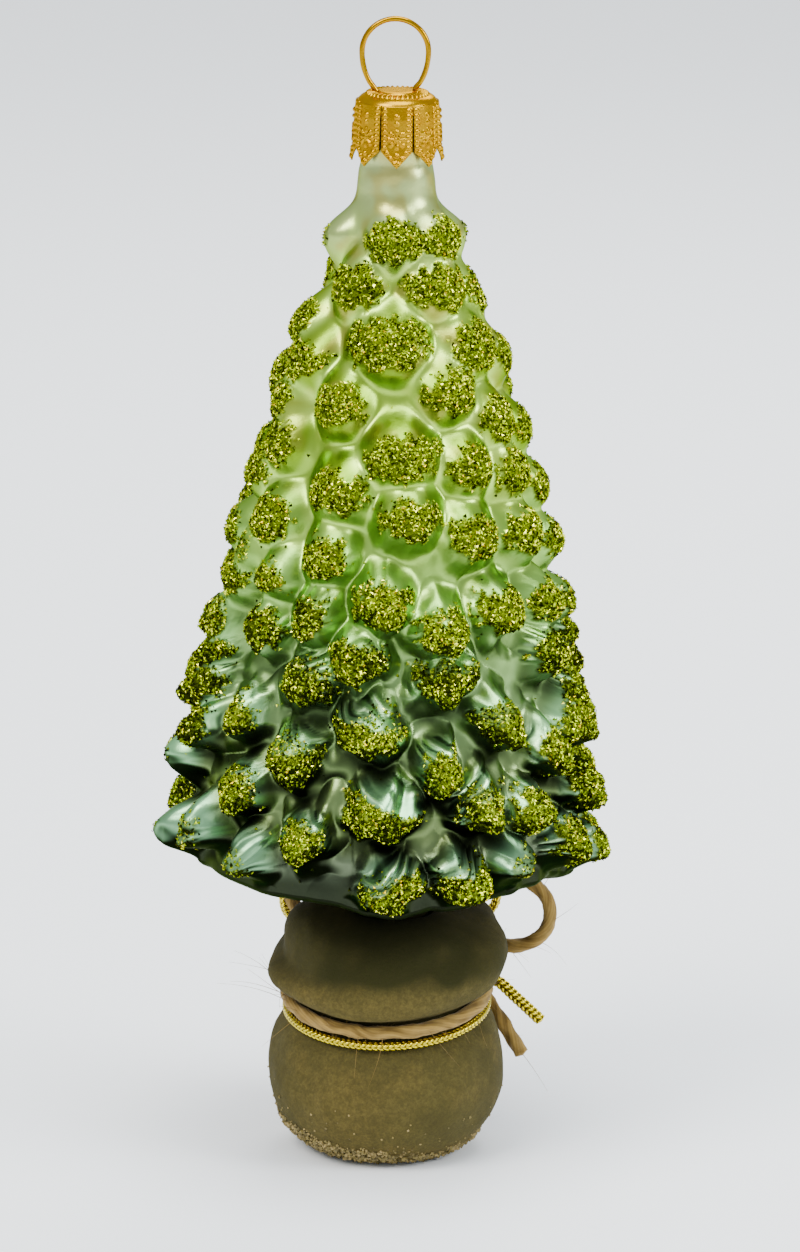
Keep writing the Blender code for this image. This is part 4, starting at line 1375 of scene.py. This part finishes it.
def knot_turn(centre, reach, lean, spacing):
    """One turn of the cord round the middle of a bow: a ring across it, leaning to one side."""
    angle = ring_angles(24, 0)
    across = 0.35 * reach * np.sin(angle + lean) + 0.55 * lean
    ring = np.stack((across, reach * np.cos(angle), reach * np.sin(angle)), axis=1)
    return smooth_route(ring + centre, spacing, closed=True)


def wrapped_turn(route, section):
    """A closed turn of cord in an upright plane: the frame across it is the way from its centre and X."""
    out = unit((route - route.mean(axis=0)) * (0, 1, 1))
    side = np.cross(ring_tangents(route), out)
    around = spokes(ring_angles(section.shape[1], 0), out, side)
    return lofted(route[:, None] + section[..., None] * around, close_rows=True)


def make_ties():
    """Both ties: a band round the sack, two loops, two tails and two turns of the knot for each."""
    cords = {
        "jute": ("twine", twine(), "jute_twine", "fibre_and_shade", jute_section, 0.7),
        "gold": ("cord", braid(), "gold_braid", "stitch", gold_section, 0.5),
    }

    def add_tie(node, routes, tube=swept):
        """The piece for a node of a tie: a tube of its cord along each of the routes."""
        tie, part = node.split("_")[:2]
        kind, finish, slot, field, section_of, end_tone = cords[tie]
        shapes = []
        tones = []
        for route in routes:
            section, tone = section_of(route, CORD_RADIUS[tie][part])
            shapes.append(tube(route, section))
            tones.append(tone.ravel() if meets(route) else with_hubs(tone, end_tone))
        marks = {field: np.concatenate(tones)}
        add_piece(f"{node}_{kind}", joined(shapes), finish, [node], fields=marks)

    routes = {}
    for tie, (radius, height, points) in BANDS.items():
        routes[f"{tie}_band"] = on_sack(ring_angles(points), radius, height)
    for node, points in ROUTES.items():
        routes[node] = smooth_route(points, CORD_SPACING[node.split("_")[0]])
    for node, route in routes.items():
        add_tie(node, [route])
    for tie, (centre, reach, lean) in KNOTS.items():
        turns = [knot_turn(centre, reach, side, CORD_SPACING[tie]) for side in (-lean, lean)]
        add_tie(f"{tie}_knot", turns, wrapped_turn)
    make_fuzz([route for node, route in routes.items() if node.startswith("jute")], cords["jute"][1])


def make_fuzz(routes, jute):
    """The jute's short fuzz, its longer stray fibres, and a few very loose ones at the left."""
    chance = np.random.default_rng(81)
    band = routes[0]
    left = band[band[:, 0] < LOOSE_FROM]
    fuzz = stray_hairs(routes, chance, *FUZZ)
    long = stray_hairs(routes, chance, *LONG_HAIRS)
    loose = stray_hairs([left], chance, *LOOSE_HAIRS)
    tones = np.repeat((0.6, 0.2), (len(fuzz[0]), len(long[0]) + len(loose[0])))
    add_piece("jute_fuzz", joined([fuzz, long, loose]), jute, fields={"fibre_and_shade": tones})


# Studio


def make_studio():
    """A plain pale floor, a pale sky, and large soft lights."""
    floor_mesh = bpy.data.meshes.new("floor")
    corners = [(x * FLOOR_REACH, y * FLOOR_REACH, 0) for x, y in ((-1, -1), (1, -1), (1, 1), (-1, 1))]
    floor_mesh.from_pydata(corners, [], [(0, 1, 2, 3)])
    floor_mesh.materials.append(Finish("pale_floor", base_color=(0.96, 0.98, 1.0), roughness=0.8).material)
    placed("floor", floor_mesh)
    world = bpy.data.worlds.new("pale_studio")
    world.use_nodes = True
    sky = world.node_tree.nodes["Background"].inputs
    sky["Color"].default_value = (0.86, 0.93, 1.0, 1)
    sky["Strength"].default_value = 0.93
    bpy.context.scene.world = world
    for name, place, kind, size, power, colour in LIGHTS:
        light = bpy.data.lights.new(name, kind)
        if kind == "AREA":
            light.shape = "DISK"
            light.size = size
        else:
            light.angle = math.radians(size)
        light.energy = power
        light.color = colour
        lamp = placed(name, light)
        lamp.location = np.array(place) * MM
        pitch, turn = facing(place, LIGHT_TARGET)
        lamp.rotation_euler = (pitch, 0, turn)


def facing(place, target):
    """Pitch and turn that point a camera or a lamp at place towards target."""
    x, y, z = np.subtract(target, place)
    return math.atan2(math.hypot(x, y), -z), math.atan2(-x, y)


def make_camera():
    """The photo's view: a long lens from the front that looks down a little, rolled to the right."""
    camera = bpy.data.cameras.new("photo_view")
    camera.sensor_fit = "VERTICAL"
    camera.sensor_height = 36
    camera.lens = CAMERA_LENS
    camera.clip_end = 50
    eye = placed("photo_view", camera)
    eye.location = np.array(CAMERA_PLACE) * MM
    pitch, turn = facing(CAMERA_PLACE, CAMERA_TARGET)
    upright = Matrix.Rotation(turn, 3, "Z") @ Matrix.Rotation(pitch, 3, "X")
    eye.rotation_euler = (upright @ Matrix.Rotation(math.radians(CAMERA_ROLL), 3, "Z")).to_euler()
    bpy.context.scene.camera = eye


make_camera()
make_studio()
crown_glass = make_crown()
make_neck(crown_glass)
make_cap()
make_ring()
make_sack()
make_ties()
